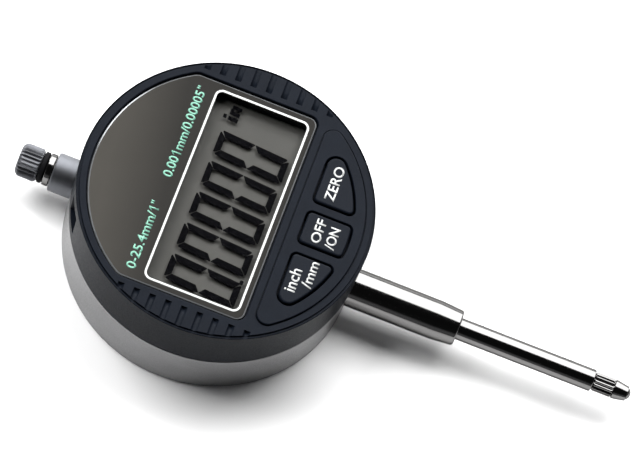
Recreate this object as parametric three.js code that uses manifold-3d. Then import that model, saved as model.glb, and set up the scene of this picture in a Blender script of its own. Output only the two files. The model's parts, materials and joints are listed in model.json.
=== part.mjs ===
// An electronic dial indicator, lying on its back: millimetres, +Z out of the display,
// +Y towards the lifting cap, -Y towards the contact point.
// The origin is on the dial's axis, at the outer face of the back cover.
import * as THREE from "three";
import { mergeVertices } from "three/addons/utils/BufferGeometryUtils.js";
import Module from "manifold-3d";

const wasm = await Module();
wasm.setup();

// Gaps: between fixed neighbours, in running fits, and where pieces pass each other.
const FIT_GAP = 0.1;
const RUNNING_GAP = 0.08;
const CLEAR_GAP = 0.3;
const REST_GAP = 0.05;
// How far a shape that is added or cut runs into its neighbour.
const OVERLAP = 0.5;

// How finely round shapes are divided.
const BODY_SIDES = 48;
const TURNED_SIDES = 20;
const SMALL_SIDES = 10;
const BALL_SIDES = [16, 10];
const WIDE_ARC_RADIUS = 5;
const WIDE_ARC_STEP = Math.PI / 36;
const CORNER_STEP = Math.PI / 8;
const MERGE_DISTANCE = 1e-3;

// The case, and the head that turns on it.
const BODY_RADIUS = 29.4;
const CASE_INNER_RADIUS = 25.8;
const CASE_TOP = 12.8;
const WEB_BOTTOM = 12.6;
const WEB_TOP = 13.8;
const NECK_RADIUS = 26.2;
const FLANGE_RADIUS = 27.0;
const FLANGE_BOTTOM = 14.1;
const FLANGE_TOP = 14.9;
const SPIGOT_INNER_RADIUS = 24.9;
const CABLE_HOLE_RADIUS = 3.0;
const EDGE = 0.4;
const HEAD_BOTTOM = CASE_TOP + CLEAR_GAP;
const HEAD_INNER_RADIUS = 27.3;
const LIP_RADIUS = NECK_RADIUS + CLEAR_GAP;
const LIP_TOP = FLANGE_BOTTOM - CLEAR_GAP;
const FACE = 25.4;
const FACE_UNDERSIDE = 23.0;
const RIM_EDGE = 0.5;
const WALL_INSIDE = 20;

// The back cover and its screws.
const BACK_RADIUS = 27.4;
const BACK_THICKNESS = 1.5;
const BACK_SCREW_PLACE = 15.9;
const BOSS_RADIUS = 2.4;
const BACK_SCREW = { head: 1.85, shank: 0.95, cone: 0.9, end: 7.5, sink: 0.05 };

// Everything that is turned about the spindle's axis.
const SPINDLE_Z = 8.1;
const SPINDLE_RADIUS = 2.25;
const SPINDLE_END = -80.75;
const SPINDLE_TOP = 34.1;
const STUB_RADIUS = 1.5;
const TUBE_RADIUS = 4.0;
const TUBE_BORE = 3.1;
const TUBE_FLANGE_RADIUS = 4.4;
const TUBE_FLANGE = [24.0, 25.3];
const STEM_END = -52.0;
const STEM_TAPER_START = -47.5;
const COLLAR_TOP = 34.0;
const CAP_TOP = 41.3;
const BALL_RADIUS = 1.5;
const BALL_Y = -87.2;

// The slider on the spindle, its rail and the sensor above it.
const TRAVEL = 25.4;
const SLIDER_X = 6.0;
const SLIDER_Y = [-22.7, -10.7];
const SLIDER_Z = [4.4, 10.6];
const PIN_Y = (SLIDER_Y[0] + SLIDER_Y[1]) / 2;
const PIN_RADIUS = 1.0;
const PIN_X = [-10.4, -4.1];
const SLIDER_SCREW_RADIUS = 0.95;
const RAIL_X = [-9.8, -8.4];
const RAIL_Y = 21;
const SENSOR_Z = [11.4, 12.5];
const MECHANISM_SCREW_Y = 17.5;
const RAIL_SCREW_X = -11.4;
const SENSOR_SCREW_X = 11.4;
const MECHANISM_SCREW = { headRadius: 1.4, headHeight: 0.8, seat: 11.3, shankRadius: 0.7, end: 13.5 };

// The return spring round the spindle.
const SPRING = { radius: 2.85, wire: 0.25, turns: 9, stepsPerTurn: 10, start: -10.35, end: 23.65 };

// The face: lens, display window, button panel and grip flutes.
const LENS = { halfWidth: 23.45, bottom: -11.55, radius: 27.4, corner: 2.0, shoulder: 3.0 };
const LENS_SEAT = 24.3;
const LENS_GAP = 0.25;
const LENS_THICKNESS = 0.7;
const DISPLAY_Y = -0.22;
const WINDOW = { halfWidth: 21.4, halfHeight: 9.5, corner: 0.9 };
const PANEL = { top: -13.2, radius: 27.35, corner: 1.9, tip: 2.1 };
const PANEL_TOP = FACE + 0.4;
const BUTTON_BAND = { top: -15.42, radius: 25.3, corner: 1.3, tip: 2.3 };
const BUTTON_GAP = 0.4;
const BUTTON_TOP = PANEL_TOP + 0.2;
const BUTTON_FLANGE = { reach: 0.7, bottom: 22.1, top: FACE_UNDERSIDE - 0.2 };
const BUTTONS = [
  { name: "inch_mm", right: -5.5, switchX: -10.2, switchY: -18.3 },
  { name: "off_on", left: -3.7, right: 4.0, switchX: 0, switchY: -19.8 },
  { name: "zero", left: 5.65, switchX: 10.2, switchY: -18.3 },
];
const SWITCH = { side: 4, bodyTop: 21.3, plungerRadius: 0.9, plungerTop: 21.65 };
const GRIP = { count: 9, pitch: 3.22, width: 1.3, innerX: 24.6, innerDepth: 0.7, rimDepth: 0.2 };

// Inside the head.
const BOARD_Z = [19.4, 20.3];
const BOARD_RADIUS = 26.8;
const HEAD_SCREW_X = 20.5;
const HEAD_SCREW_Y = 14.6;
const HEAD_BOSS_RADIUS = 2.2;
const HEAD_HOLE_RADIUS = 0.9;
const COVER_SCREW = { headRadius: 1.5, headHeight: 0.8, seat: 19.3, shankRadius: 0.8, end: 22.4 };
const LCD = { halfWidth: 22.3, halfHeight: 10.3, bottom: 21.2, top: 22.9 };
const LCD_WALL = 1.2;
const ZEBRA = { halfLength: 20, near: 8.2, far: 9.8 };
const DRAWER_HALF_WIDTH = 11.2;
const DRAWER_Z = [15.2, 18.8];
const DRAWER_INNER_X = 4.9;
const HOLDER_X = [4, 20.5];
const HOLDER_BOTTOM = 14.2;
const CELL = { x: 16.0, radius: 10.0, bottom: 15.65, top: 18.85 };
const UPPER_CONTACT_Z = [19, 19.3];
const LOWER_CONTACT_Z = [15.03, 15.15];
const PORT = { x: [-14.6, -9.6], z: [15.6, 22.4], depthY: 22.4, wall: 0.6 };

// Colour, roughness and metalness of each kind of material.
const LOOKS = {
  satinSteel: { color: 0x9fa1a4, roughness: 0.42, metalness: 0.9 },
  polishedSteel: { color: 0xc9cbcd, roughness: 0.14, metalness: 1.0 },
  bronze: { color: 0xa9814a, roughness: 0.35, metalness: 0.9 },
  blackPlastic: { color: 0x24272c, roughness: 0.55, metalness: 0.0 },
  darkPlastic: { color: 0x1a1c1f, roughness: 0.6, metalness: 0.0 },
  rubber: { color: 0x101112, roughness: 0.8, metalness: 0.0 },
  smokedLens: { color: 0x4b4642, roughness: 0.08, metalness: 0.0 },
  liquidCrystal: { color: 0x6e7064, roughness: 0.3, metalness: 0.0 },
  circuitBoard: { color: 0x1f5a38, roughness: 0.5, metalness: 0.0 },
  chip: { color: 0x15161a, roughness: 0.45, metalness: 0.0 },
  screw: { color: 0xa6a8aa, roughness: 0.3, metalness: 1.0 },
  whitePlastic: { color: 0xd8d6cf, roughness: 0.5, metalness: 0.0 },
};

// ---- Helpers ----

function piece(name, geometry, look) {
  const mesh = new THREE.Mesh(geometry, new THREE.MeshStandardMaterial(LOOKS[look]));
  mesh.name = name;
  return mesh;
}

function toSolid(geometry) {
  const bare = geometry.clone();
  bare.deleteAttribute("normal");
  bare.deleteAttribute("uv");
  const merged = mergeVertices(bare, MERGE_DISTANCE);
  const vertProperties = merged.attributes.position.array;
  const triVerts = new Uint32Array(merged.index.array);
  return new wasm.Manifold(new wasm.Mesh({ numProp: 3, vertProperties, triVerts }));
}

function toGeometry(solid) {
  const mesh = solid.getMesh();
  const geometry = new THREE.BufferGeometry();
  geometry.setAttribute("position", new THREE.BufferAttribute(mesh.vertProperties, 3));
  geometry.setIndex(new THREE.BufferAttribute(mesh.triVerts, 1));
  geometry.computeVertexNormals();
  return geometry;
}

function combine(base, { add = [], keep = [], cut = [] }) {
  let solid = toSolid(base);
  for (const geometry of add) solid = solid.add(toSolid(geometry));
  for (const geometry of keep) solid = solid.intersect(toSolid(geometry));
  for (const geometry of cut) solid = solid.subtract(toSolid(geometry));
  return toGeometry(solid);
}

function block([x0, x1], [y0, y1], [z0, z1]) {
  const box = new THREE.BoxGeometry(x1 - x0, y1 - y0, z1 - z0);
  return box.translate((x0 + x1) / 2, (y0 + y1) / 2, (z0 + z1) / 2);
}

function centredBlock(x, y, width, length, heights) {
  return block([x - width / 2, x + width / 2], [y - length / 2, y + length / 2], heights);
}

function slab(shape, bottom, top) {
  const solid = new THREE.ExtrudeGeometry(shape, { depth: top - bottom, bevelEnabled: false });
  return solid.translate(0, 0, bottom);
}

// A profile of [radius, height] points, turned about Z at (x, y).
function turnedAboutZ(profile, sides = BODY_SIDES, x = 0, y = 0) {
  const points = profile.map(([radius, height]) => new THREE.Vector2(radius, height));
  return new THREE.LatheGeometry(points, sides).rotateX(Math.PI / 2).translate(x, y, 0);
}

// A profile of [radius, y] points, turned about the spindle's axis.
function turnedAboutSpindle(profile, sides = TURNED_SIDES) {
  const points = profile.map(([radius, y]) => new THREE.Vector2(radius, y));
  return new THREE.LatheGeometry(points, sides).translate(0, 0, SPINDLE_Z);
}

function disc(radius, [bottom, top], sides = BODY_SIDES, x = 0, y = 0) {
  return turnedAboutZ([[0, bottom], [radius, bottom], [radius, top], [0, top]], sides, x, y);
}

function rodAlongSpindle(radius, [start, end], sides = TURNED_SIDES) {
  return turnedAboutSpindle([[0, start], [radius, start], [radius, end], [0, end]], sides);
}

function tubeAlongSpindle(inner, outer, [start, end]) {
  return turnedAboutSpindle([[inner, start], [outer, start], [outer, end], [inner, end], [inner, start]]);
}

// A bar along the spindle's axis, with straight V flutes all round.
function flutedBar(outer, inner, flutes, [start, end]) {
  const points = [];
  for (let i = 0; i < 2 * flutes; i += 1) {
    const radius = i % 2 ? inner : outer;
    points.push(pointOnCircle(0, 0, radius, (i * Math.PI) / flutes));
  }
  return slab(new THREE.Shape(points), 0, end - start).rotateX(Math.PI / 2).translate(0, end, SPINDLE_Z);
}

function fourCorners(x, y) {
  return [[x, y], [-x, y], [-x, -y], [x, -y]];
}

// ---- Outlines on the face ----

function pointOnCircle(x, y, radius, angle) {
  return new THREE.Vector2(x + radius * Math.cos(angle), y + radius * Math.sin(angle));
}

// Points along a counter-clockwise arc; wide arcs are divided more finely than corners.
function arc(x, y, radius, start, end) {
  const step = radius > WIDE_ARC_RADIUS ? WIDE_ARC_STEP : CORNER_STEP;
  const count = Math.max(1, Math.round((end - start) / step));
  const points = [];
  for (let i = 0; i <= count; i += 1) {
    points.push(pointOnCircle(x, y, radius, start + ((end - start) * i) / count));
  }
  return points;
}

// A closed shape through all the arcs in turn, without the points that two arcs share.
function closedShape(arcs) {
  const points = arcs.flat();
  return new THREE.Shape(points.filter((point, i) => point.distanceTo(points.at(i - 1)) > MERGE_DISTANCE));
}

function roundedRectangle(halfWidth, halfHeight, corner, centreY) {
  const [x, y] = [halfWidth - corner, halfHeight - corner];
  return closedShape([
    arc(x, centreY + y, corner, 0, Math.PI / 2),
    arc(-x, centreY + y, corner, Math.PI / 2, Math.PI),
    arc(-x, centreY - y, corner, Math.PI, 1.5 * Math.PI),
    arc(x, centreY - y, corner, 1.5 * Math.PI, 2 * Math.PI),
  ]);
}

// A circle's upper part, cut straight at both sides and below, with rounded corners, inset all round.
function lensOutline(inset) {
  const halfWidth = LENS.halfWidth - inset;
  const bottom = LENS.bottom + inset;
  const radius = LENS.radius - inset;
  const corner = LENS.corner - inset;
  const shoulder = LENS.shoulder - inset;
  const shoulderX = halfWidth - shoulder;
  const shoulderY = Math.sqrt((radius - shoulder) ** 2 - shoulderX ** 2);
  const meet = Math.atan2(shoulderY, shoulderX);
  return closedShape([
    arc(shoulderX, shoulderY, shoulder, 0, meet),
    arc(0, 0, radius, meet, Math.PI - meet),
    arc(-shoulderX, shoulderY, shoulder, Math.PI - meet, Math.PI),
    arc(corner - halfWidth, bottom + corner, corner, Math.PI, 1.5 * Math.PI),
    arc(halfWidth - corner, bottom + corner, corner, 1.5 * Math.PI, 2 * Math.PI),
  ]);
}

// The band between a straight top and an arc about the dial's axis, with rounded corners.
// Each side ends at a vertical edge, or where there is none, in the tip of the band.
function bandOutline({ left, right, top, radius, corner, tip }, inset = 0) {
  const arcRadius = radius - inset;
  const topY = top - inset;
  const [small, large] = [corner - inset, tip - inset];
  const tipX = Math.sqrt((arcRadius - large) ** 2 - (topY - large) ** 2);
  const tipY = topY - large;
  const lowerY = (x) => -Math.sqrt((arcRadius - small) ** 2 - x ** 2);
  const angleOf = (x, y) => Math.atan2(y, x) + 2 * Math.PI;

  const leftX = left === undefined ? -tipX : left + inset + small;
  const leftAngle = angleOf(leftX, left === undefined ? tipY : lowerY(leftX));
  const leftArcs = left === undefined
    ? [arc(leftX, tipY, large, Math.PI / 2, leftAngle)]
    : [
      arc(leftX, topY - small, small, Math.PI / 2, Math.PI),
      arc(leftX, lowerY(leftX), small, Math.PI, leftAngle),
    ];

  const rightX = right === undefined ? tipX : right - inset - small;
  const rightAngle = angleOf(rightX, right === undefined ? tipY : lowerY(rightX));
  const turn = 2 * Math.PI;
  const rightArcs = right === undefined
    ? [arc(rightX, tipY, large, rightAngle, turn + Math.PI / 2)]
    : [
      arc(rightX, lowerY(rightX), small, rightAngle, turn),
      arc(rightX, topY - small, small, 0, Math.PI / 2),
    ];

  return closedShape([...leftArcs, arc(0, 0, arcRadius, leftAngle, rightAngle), ...rightArcs]);
}

// ---- The case ----

function caseRing() {
  const body = turnedAboutZ([
    [BACK_RADIUS, 0], [BODY_RADIUS - EDGE, 0], [BODY_RADIUS, EDGE],
    [BODY_RADIUS, CASE_TOP - EDGE / 2], [BODY_RADIUS - EDGE / 2, CASE_TOP], [NECK_RADIUS, CASE_TOP],
    [NECK_RADIUS, FLANGE_BOTTOM], [FLANGE_RADIUS, FLANGE_BOTTOM], [FLANGE_RADIUS, FLANGE_TOP],
    [SPIGOT_INNER_RADIUS, FLANGE_TOP], [SPIGOT_INNER_RADIUS, WEB_TOP], [CABLE_HOLE_RADIUS, WEB_TOP],
    [CABLE_HOLE_RADIUS, WEB_BOTTOM], [CASE_INNER_RADIUS, WEB_BOTTOM],
    [CASE_INNER_RADIUS, BACK_THICKNESS + FIT_GAP], [BACK_RADIUS, BACK_THICKNESS + FIT_GAP],
    [BACK_RADIUS, 0],
  ]);
  const bossHeights = [BACK_THICKNESS + FIT_GAP, (WEB_BOTTOM + WEB_TOP) / 2];
  const screwHoleRadius = BACK_SCREW.shank + FIT_GAP;
  const places = fourCorners(BACK_SCREW_PLACE, BACK_SCREW_PLACE);
  const bosses = places.map(([x, y]) => disc(BOSS_RADIUS, bossHeights, SMALL_SIDES, x, y));
  const holeHeights = [0, BACK_SCREW.end + CLEAR_GAP];
  const holes = places.map(([x, y]) => disc(screwHoleRadius, holeHeights, SMALL_SIDES, x, y));
  const reach = BODY_RADIUS + 1;
  const bore = rodAlongSpindle(TUBE_RADIUS + FIT_GAP, [-reach, -TUBE_FLANGE[0]]);
  const collarBore = rodAlongSpindle(TUBE_RADIUS + FIT_GAP, [TUBE_FLANGE[0], reach]);
  const webHoles = [...mechanismScrewHoles(RAIL_SCREW_X), ...mechanismScrewHoles(SENSOR_SCREW_X)];
  return combine(body, { add: bosses, cut: [...holes, bore, collarBore, ...webHoles] });
}

// Clearance holes for the two screws that hold the rail, or the sensor board, to the web.
function mechanismScrewHoles(x) {
  const radius = MECHANISM_SCREW.shankRadius + FIT_GAP;
  const heights = [SENSOR_Z[0] - 1, WEB_TOP + 1];
  return [-MECHANISM_SCREW_Y, MECHANISM_SCREW_Y].map((y) => disc(radius, heights, SMALL_SIDES, x, y));
}

function backCover() {
  const outer = BACK_RADIUS - FIT_GAP;
  const plate = turnedAboutZ([
    [0, 0], [outer - EDGE, 0], [outer, EDGE], [outer, BACK_THICKNESS], [0, BACK_THICKNESS],
  ]);
  const { head, shank, cone, sink } = BACK_SCREW;
  const [wide, narrow] = [head + FIT_GAP, shank + FIT_GAP];
  const profile = [
    [0, -1], [wide, -1], [wide, sink], [narrow, sink + cone],
    [narrow, BACK_THICKNESS + 1], [0, BACK_THICKNESS + 1],
  ];
  const places = fourCorners(BACK_SCREW_PLACE, BACK_SCREW_PLACE);
  return combine(plate, { cut: places.map(([x, y]) => turnedAboutZ(profile, SMALL_SIDES, x, y)) });
}

function backScrew(x, y) {
  const { head, shank, cone, end, sink } = BACK_SCREW;
  const profile = [[0, sink], [head, sink], [shank, sink + cone], [shank, end], [0, end]];
  const screw = turnedAboutZ(profile, SMALL_SIDES, x, y);
  const [length, width] = [2.2, 0.4];
  const depth = [-1, 0.6];
  const recess = [centredBlock(x, y, length, width, depth), centredBlock(x, y, width, length, depth)];
  return combine(screw, { cut: recess });
}

// A cap screw put in from below: its head hangs under the piece that it holds.
function screwFromBelow(x, y, { headRadius, headHeight, seat, shankRadius, end }) {
  return turnedAboutZ([
    [0, seat - headHeight], [headRadius, seat - headHeight], [headRadius, seat],
    [shankRadius, seat], [shankRadius, end], [0, end],
  ], SMALL_SIDES, x, y);
}

function stem() {
  const [flangeStart, flangeEnd] = TUBE_FLANGE;
  return turnedAboutSpindle([
    [TUBE_BORE, STEM_END], [3.35, STEM_END], [3.65, STEM_END + EDGE], [TUBE_RADIUS, STEM_TAPER_START],
    [TUBE_RADIUS, -flangeEnd], [TUBE_FLANGE_RADIUS, -flangeEnd], [TUBE_FLANGE_RADIUS, -flangeStart],
    [TUBE_BORE, -flangeStart], [TUBE_BORE, STEM_END],
  ]);
}

function collar() {
  const [flangeStart, flangeEnd] = TUBE_FLANGE;
  return turnedAboutSpindle([
    [TUBE_BORE, flangeStart], [TUBE_FLANGE_RADIUS, flangeStart], [TUBE_FLANGE_RADIUS, flangeEnd],
    [TUBE_RADIUS, flangeEnd], [TUBE_RADIUS, COLLAR_TOP - EDGE], [TUBE_RADIUS - EDGE, COLLAR_TOP],
    [TUBE_BORE, COLLAR_TOP], [TUBE_BORE, flangeStart],
  ]);
}

function bush(span) {
  return tubeAlongSpindle(SPINDLE_RADIUS + RUNNING_GAP, TUBE_BORE - FIT_GAP, span);
}

function guideRail() {
  const bar = block(RAIL_X, [-RAIL_Y, RAIL_Y], [4.6, SENSOR_Z[1]]);
  const footX = [-13, RAIL_X[1]];
  const feet = [[-RAIL_Y, -14], [14, RAIL_Y]].map((span) => block(footX, span, SENSOR_Z));
  const slotY = [PIN_Y - PIN_RADIUS - 0.2, PIN_Y + TRAVEL + PIN_RADIUS + 0.2];
  const slotHalfHeight = PIN_RADIUS + 0.15;
  const slot = block([-20, 0], slotY, [SPINDLE_Z - slotHalfHeight, SPINDLE_Z + slotHalfHeight]);
  return combine(bar, { add: feet, cut: [slot, ...mechanismScrewHoles(RAIL_SCREW_X)] });
}

function sensorBoard() {
  const board = block([-7.8, 13], [-RAIL_Y, RAIL_Y], SENSOR_Z);
  return combine(board, { cut: mechanismScrewHoles(SENSOR_SCREW_X) });
}

class CoilPath extends THREE.Curve {
  getPoint(t, target = new THREE.Vector3()) {
    const { radius, turns, start, end } = SPRING;
    const angle = 2 * Math.PI * turns * t;
    const y = start + (end - start) * t;
    return target.set(radius * Math.cos(angle), y, SPINDLE_Z + radius * Math.sin(angle));
  }
}

// A compression spring round the spindle, between the slider and the collar.
function returnSpring() {
  const corners = [0, 0.5, 1, 1.5].map((turn) => pointOnCircle(0, 0, SPRING.wire, turn * Math.PI));
  const steps = SPRING.turns * SPRING.stepsPerTurn;
  return new THREE.ExtrudeGeometry(new THREE.Shape(corners), { steps, extrudePath: new CoilPath() });
}

function slideWasher() {
  const [inner, outer] = [LIP_RADIUS, BODY_RADIUS - 0.5];
  const [bottom, top] = [CASE_TOP + REST_GAP, HEAD_BOTTOM - REST_GAP];
  return turnedAboutZ([[inner, bottom], [outer, bottom], [outer, top], [inner, top], [inner, bottom]]);
}

// ---- The spindle and all it carries ----

function spindle() {
  const threadRadius = 1.3;
  const threadEnd = -74.5;
  return turnedAboutSpindle([
    [0, threadEnd], [threadRadius, threadEnd], [threadRadius, SPINDLE_END],
    [SPINDLE_RADIUS - 0.2, SPINDLE_END], [SPINDLE_RADIUS, SPINDLE_END + 0.2], [SPINDLE_RADIUS, SPINDLE_TOP],
    [STUB_RADIUS, SPINDLE_TOP], [STUB_RADIUS, CAP_TOP - 0.7], [0, CAP_TOP - 0.7],
  ]);
}

function contactPoint() {
  const barrelEnd = -85.0;
  const coneEnd = -87.95;
  const start = SPINDLE_END - FIT_GAP;
  const body = turnedAboutSpindle([
    [0, coneEnd], [1.52, coneEnd], [1.97, barrelEnd - 0.1], [1.7, barrelEnd], [1.7, start],
    [1.2, start], [1.2, -75], [0, -75],
  ]);
  const barrel = flutedBar(1.95, 1.68, 13, [barrelEnd, start]);
  return combine(body, { add: [barrel], cut: [ball(BALL_RADIUS + FIT_GAP)] });
}

function ball(radius) {
  return new THREE.SphereGeometry(radius, ...BALL_SIDES).translate(0, BALL_Y, SPINDLE_Z);
}

function stopRing() {
  const [inner, outer] = [STUB_RADIUS + FIT_GAP, 3.3];
  const [start, end] = [COLLAR_TOP + 0.15, 35.45];
  return turnedAboutSpindle([
    [inner, start], [outer - 0.2, start], [outer, start + 0.2], [outer, end - 0.2], [outer - 0.2, end],
    [inner, end], [inner, start],
  ]);
}

function bumperRing() {
  const [inner, outer] = [STUB_RADIUS + FIT_GAP, 3.22];
  const [start, end] = [35.55, 36.7];
  const middle = (start + end) / 2;
  return turnedAboutSpindle([
    [inner, start], [outer - 0.3, start], [outer, middle - 0.25], [outer, middle + 0.25],
    [outer - 0.3, end], [inner, end], [inner, start],
  ]);
}

function liftingCap() {
  const start = 36.8;
  const knurl = flutedBar(3.45, 3.2, 24, [start, CAP_TOP]);
  const envelope = turnedAboutSpindle([
    [0, start], [3.2, start], [3.6, start + 0.4], [3.6, CAP_TOP - 0.8], [2.9, CAP_TOP - 0.1],
    [2.5, CAP_TOP], [0, CAP_TOP],
  ]);
  const bore = rodAlongSpindle(STUB_RADIUS + FIT_GAP, [start - 1, CAP_TOP - 0.6]);
  return combine(knurl, { keep: [envelope], cut: [bore] });
}

function sliderBlock() {
  const body = block([-SLIDER_X, SLIDER_X], SLIDER_Y, SLIDER_Z);
  const bore = rodAlongSpindle(SPINDLE_RADIUS + FIT_GAP, [SLIDER_Y[0] - 1, SLIDER_Y[1] + 1]);
  const pinHole = rodAcross(PIN_RADIUS + FIT_GAP, [-SLIDER_X - 1, PIN_X[1] + FIT_GAP]);
  const screwHeights = [SLIDER_Z[0] - 1, SPINDLE_Z - SPINDLE_RADIUS + OVERLAP];
  const screwHole = disc(SLIDER_SCREW_RADIUS + FIT_GAP, screwHeights, SMALL_SIDES, 0, PIN_Y);
  return combine(body, { cut: [bore, pinHole, screwHole] });
}

// A round bar along X, at the height of the spindle and level with the guide pin.
function rodAcross(radius, [start, end]) {
  const bar = new THREE.CylinderGeometry(radius, radius, end - start, SMALL_SIDES);
  return bar.rotateZ(Math.PI / 2).translate((start + end) / 2, PIN_Y, SPINDLE_Z);
}

function sliderScrew() {
  const heights = [SLIDER_Z[0] + 0.1, SPINDLE_Z - SPINDLE_RADIUS - FIT_GAP];
  return disc(SLIDER_SCREW_RADIUS, heights, SMALL_SIDES, 0, PIN_Y);
}

// ---- The head ----

function frontCover() {
  const shell = turnedAboutZ([
    [0, FACE_UNDERSIDE], [HEAD_INNER_RADIUS, FACE_UNDERSIDE], [HEAD_INNER_RADIUS, LIP_TOP],
    [LIP_RADIUS, LIP_TOP], [LIP_RADIUS, HEAD_BOTTOM], [BODY_RADIUS - 0.25, HEAD_BOTTOM],
    [BODY_RADIUS, HEAD_BOTTOM + 0.25], [BODY_RADIUS, FACE - RIM_EDGE],
    [BODY_RADIUS - RIM_EDGE * 0.3, FACE - RIM_EDGE * 0.3], [BODY_RADIUS - RIM_EDGE, FACE], [0, FACE],
  ]);
  const bossHeights = [BOARD_Z[1] + REST_GAP, FACE_UNDERSIDE + OVERLAP];
  const holeHeights = [BOARD_Z[1] - OVERLAP, COVER_SCREW.end + 0.2];
  const places = fourCorners(HEAD_SCREW_X, HEAD_SCREW_Y);
  const bosses = places.map(([x, y]) => disc(HEAD_BOSS_RADIUS, bossHeights, SMALL_SIDES, x, y));
  const screwHoles = places.map(([x, y]) => disc(HEAD_HOLE_RADIUS, holeHeights, SMALL_SIDES, x, y));
  const panel = slab(bandOutline(PANEL), FACE - OVERLAP, PANEL_TOP);
  const through = [FACE_UNDERSIDE - OVERLAP, BUTTON_TOP + OVERLAP];
  const window = roundedRectangle(WINDOW.halfWidth, WINDOW.halfHeight, WINDOW.corner, DISPLAY_Y);
  const buttonHoles = BUTTONS.map((button) => slab(bandOutline({ ...BUTTON_BAND, ...button }), ...through));
  const outwards = [WALL_INSIDE, BODY_RADIUS + 1];
  const drawerHole = block(
    outwards,
    [-DRAWER_HALF_WIDTH - CLEAR_GAP, DRAWER_HALF_WIDTH + CLEAR_GAP],
    [DRAWER_Z[0] - 0.2, CELL.top + CLEAR_GAP],
  );
  return combine(shell, {
    add: [...bosses, panel],
    cut: [
      ...screwHoles,
      slab(lensOutline(0), LENS_SEAT, FACE + 1),
      slab(window, ...through),
      ...buttonHoles,
      drawerHole,
      block(PORT.x, outwards, PORT.z),
      ...gripFlutes(),
    ],
  });
}

// Flutes on both sides of the face: deep beside the lens, and running out shallow over the rim.
function gripFlutes() {
  const outerX = BODY_RADIUS + 1;
  const profile = [
    [GRIP.innerX, FACE + 1], [GRIP.innerX, FACE - GRIP.innerDepth],
    [outerX, FACE - GRIP.rimDepth], [outerX, FACE + 1],
  ];
  const flutes = [];
  for (const side of [-1, 1]) {
    const shape = new THREE.Shape(profile.map(([x, height]) => new THREE.Vector2(side * x, height)));
    for (let i = 0; i < GRIP.count; i += 1) {
      const y = (i - (GRIP.count - 1) / 2) * GRIP.pitch;
      flutes.push(slab(shape, 0, GRIP.width).rotateX(Math.PI / 2).translate(0, y + GRIP.width / 2, 0));
    }
  }
  return flutes;
}

function button(place) {
  const outline = { ...BUTTON_BAND, ...place };
  const { reach, bottom, top } = BUTTON_FLANGE;
  const cap = slab(bandOutline(outline, BUTTON_GAP), bottom + CLEAR_GAP, BUTTON_TOP);
  return combine(cap, { add: [slab(bandOutline(outline, -reach), bottom, top)] });
}

function tactileSwitch({ switchX, switchY }) {
  const { side, bodyTop, plungerRadius, plungerTop } = SWITCH;
  const body = centredBlock(switchX, switchY, side, side, [BOARD_Z[1] + REST_GAP, bodyTop]);
  const plunger = disc(plungerRadius, [bodyTop - CLEAR_GAP, plungerTop], SMALL_SIDES, switchX, switchY);
  return combine(body, { add: [plunger] });
}

function lcdGlass() {
  return centredBlock(0, DISPLAY_Y, 2 * LCD.halfWidth, 2 * LCD.halfHeight, [LCD.bottom, LCD.top]);
}

function lcdFrame() {
  const heights = [BOARD_Z[1] + REST_GAP, LCD.top];
  const glassPlus = (gap, span) => {
    return centredBlock(0, DISPLAY_Y, 2 * (LCD.halfWidth + gap), 2 * (LCD.halfHeight + gap), span);
  };
  const through = [heights[0] - OVERLAP, LCD.top + OVERLAP];
  return combine(glassPlus(LCD_WALL, heights), { cut: [glassPlus(FIT_GAP, through)] });
}

function zebraStrip(side) {
  const { halfLength, near, far } = ZEBRA;
  const span = side > 0 ? [DISPLAY_Y + near, DISPLAY_Y + far] : [DISPLAY_Y - far, DISPLAY_Y - near];
  return block([-halfLength, halfLength], span, [BOARD_Z[1] + REST_GAP, LCD.bottom - REST_GAP]);
}

function displayBoard() {
  const through = [BOARD_Z[0] - OVERLAP, BOARD_Z[1] + OVERLAP];
  const places = fourCorners(HEAD_SCREW_X, HEAD_SCREW_Y);
  const holes = places.map(([x, y]) => disc(HEAD_HOLE_RADIUS, through, SMALL_SIDES, x, y));
  const margin = PORT.wall + 0.2;
  const notchStart = PORT.depthY - 2 * PORT.wall - 0.4;
  const portNotch = block([PORT.x[0] - margin, PORT.x[1] + margin], [notchStart, BODY_RADIUS], through);
  return combine(disc(BOARD_RADIUS, BOARD_Z), { cut: [...holes, portNotch] });
}

function batteryHolder() {
  const [inner, outer] = [DRAWER_HALF_WIDTH + CLEAR_GAP, DRAWER_HALF_WIDTH + 1.1];
  const [start, end] = HOLDER_X;
  const hollow = [DRAWER_Z[0] - 0.2, BOARD_Z[0] + OVERLAP];
  const tray = block([start, end], [-outer, outer], [HOLDER_BOTTOM, BOARD_Z[0] - FIT_GAP]);
  return combine(tray, { cut: [block([start + 0.6, end + 1], [-inner, inner], hollow)] });
}

function batteryDrawer() {
  const body = block([DRAWER_INNER_X, BODY_RADIUS + 1], [-DRAWER_HALF_WIDTH, DRAWER_HALF_WIDTH], DRAWER_Z);
  const above = DRAWER_Z[1] + OVERLAP;
  const seat = disc(CELL.radius + 0.15, [CELL.bottom - REST_GAP, above], BODY_SIDES, CELL.x, 0);
  const floorHole = disc(CELL.radius - 2, [DRAWER_Z[0] - OVERLAP, above], BODY_SIDES, CELL.x, 0);
  return combine(body, { keep: [disc(BODY_RADIUS - REST_GAP, [0, FACE])], cut: [seat, floorHole] });
}

function dataPort() {
  const { x, z, depthY, wall } = PORT;
  const width = [x[0] - wall, x[1] + wall];
  const outer = block(width, [depthY - 2 * wall, BODY_RADIUS], [z[0] - 0.4, z[1] + 0.4]);
  const insideWall = disc(HEAD_INNER_RADIUS - 0.15, [0, FACE]);
  return combine(outer, { keep: [insideWall], cut: [block(x, [depthY, BODY_RADIUS], z)] });
}

// ---- Assembly ----

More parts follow.
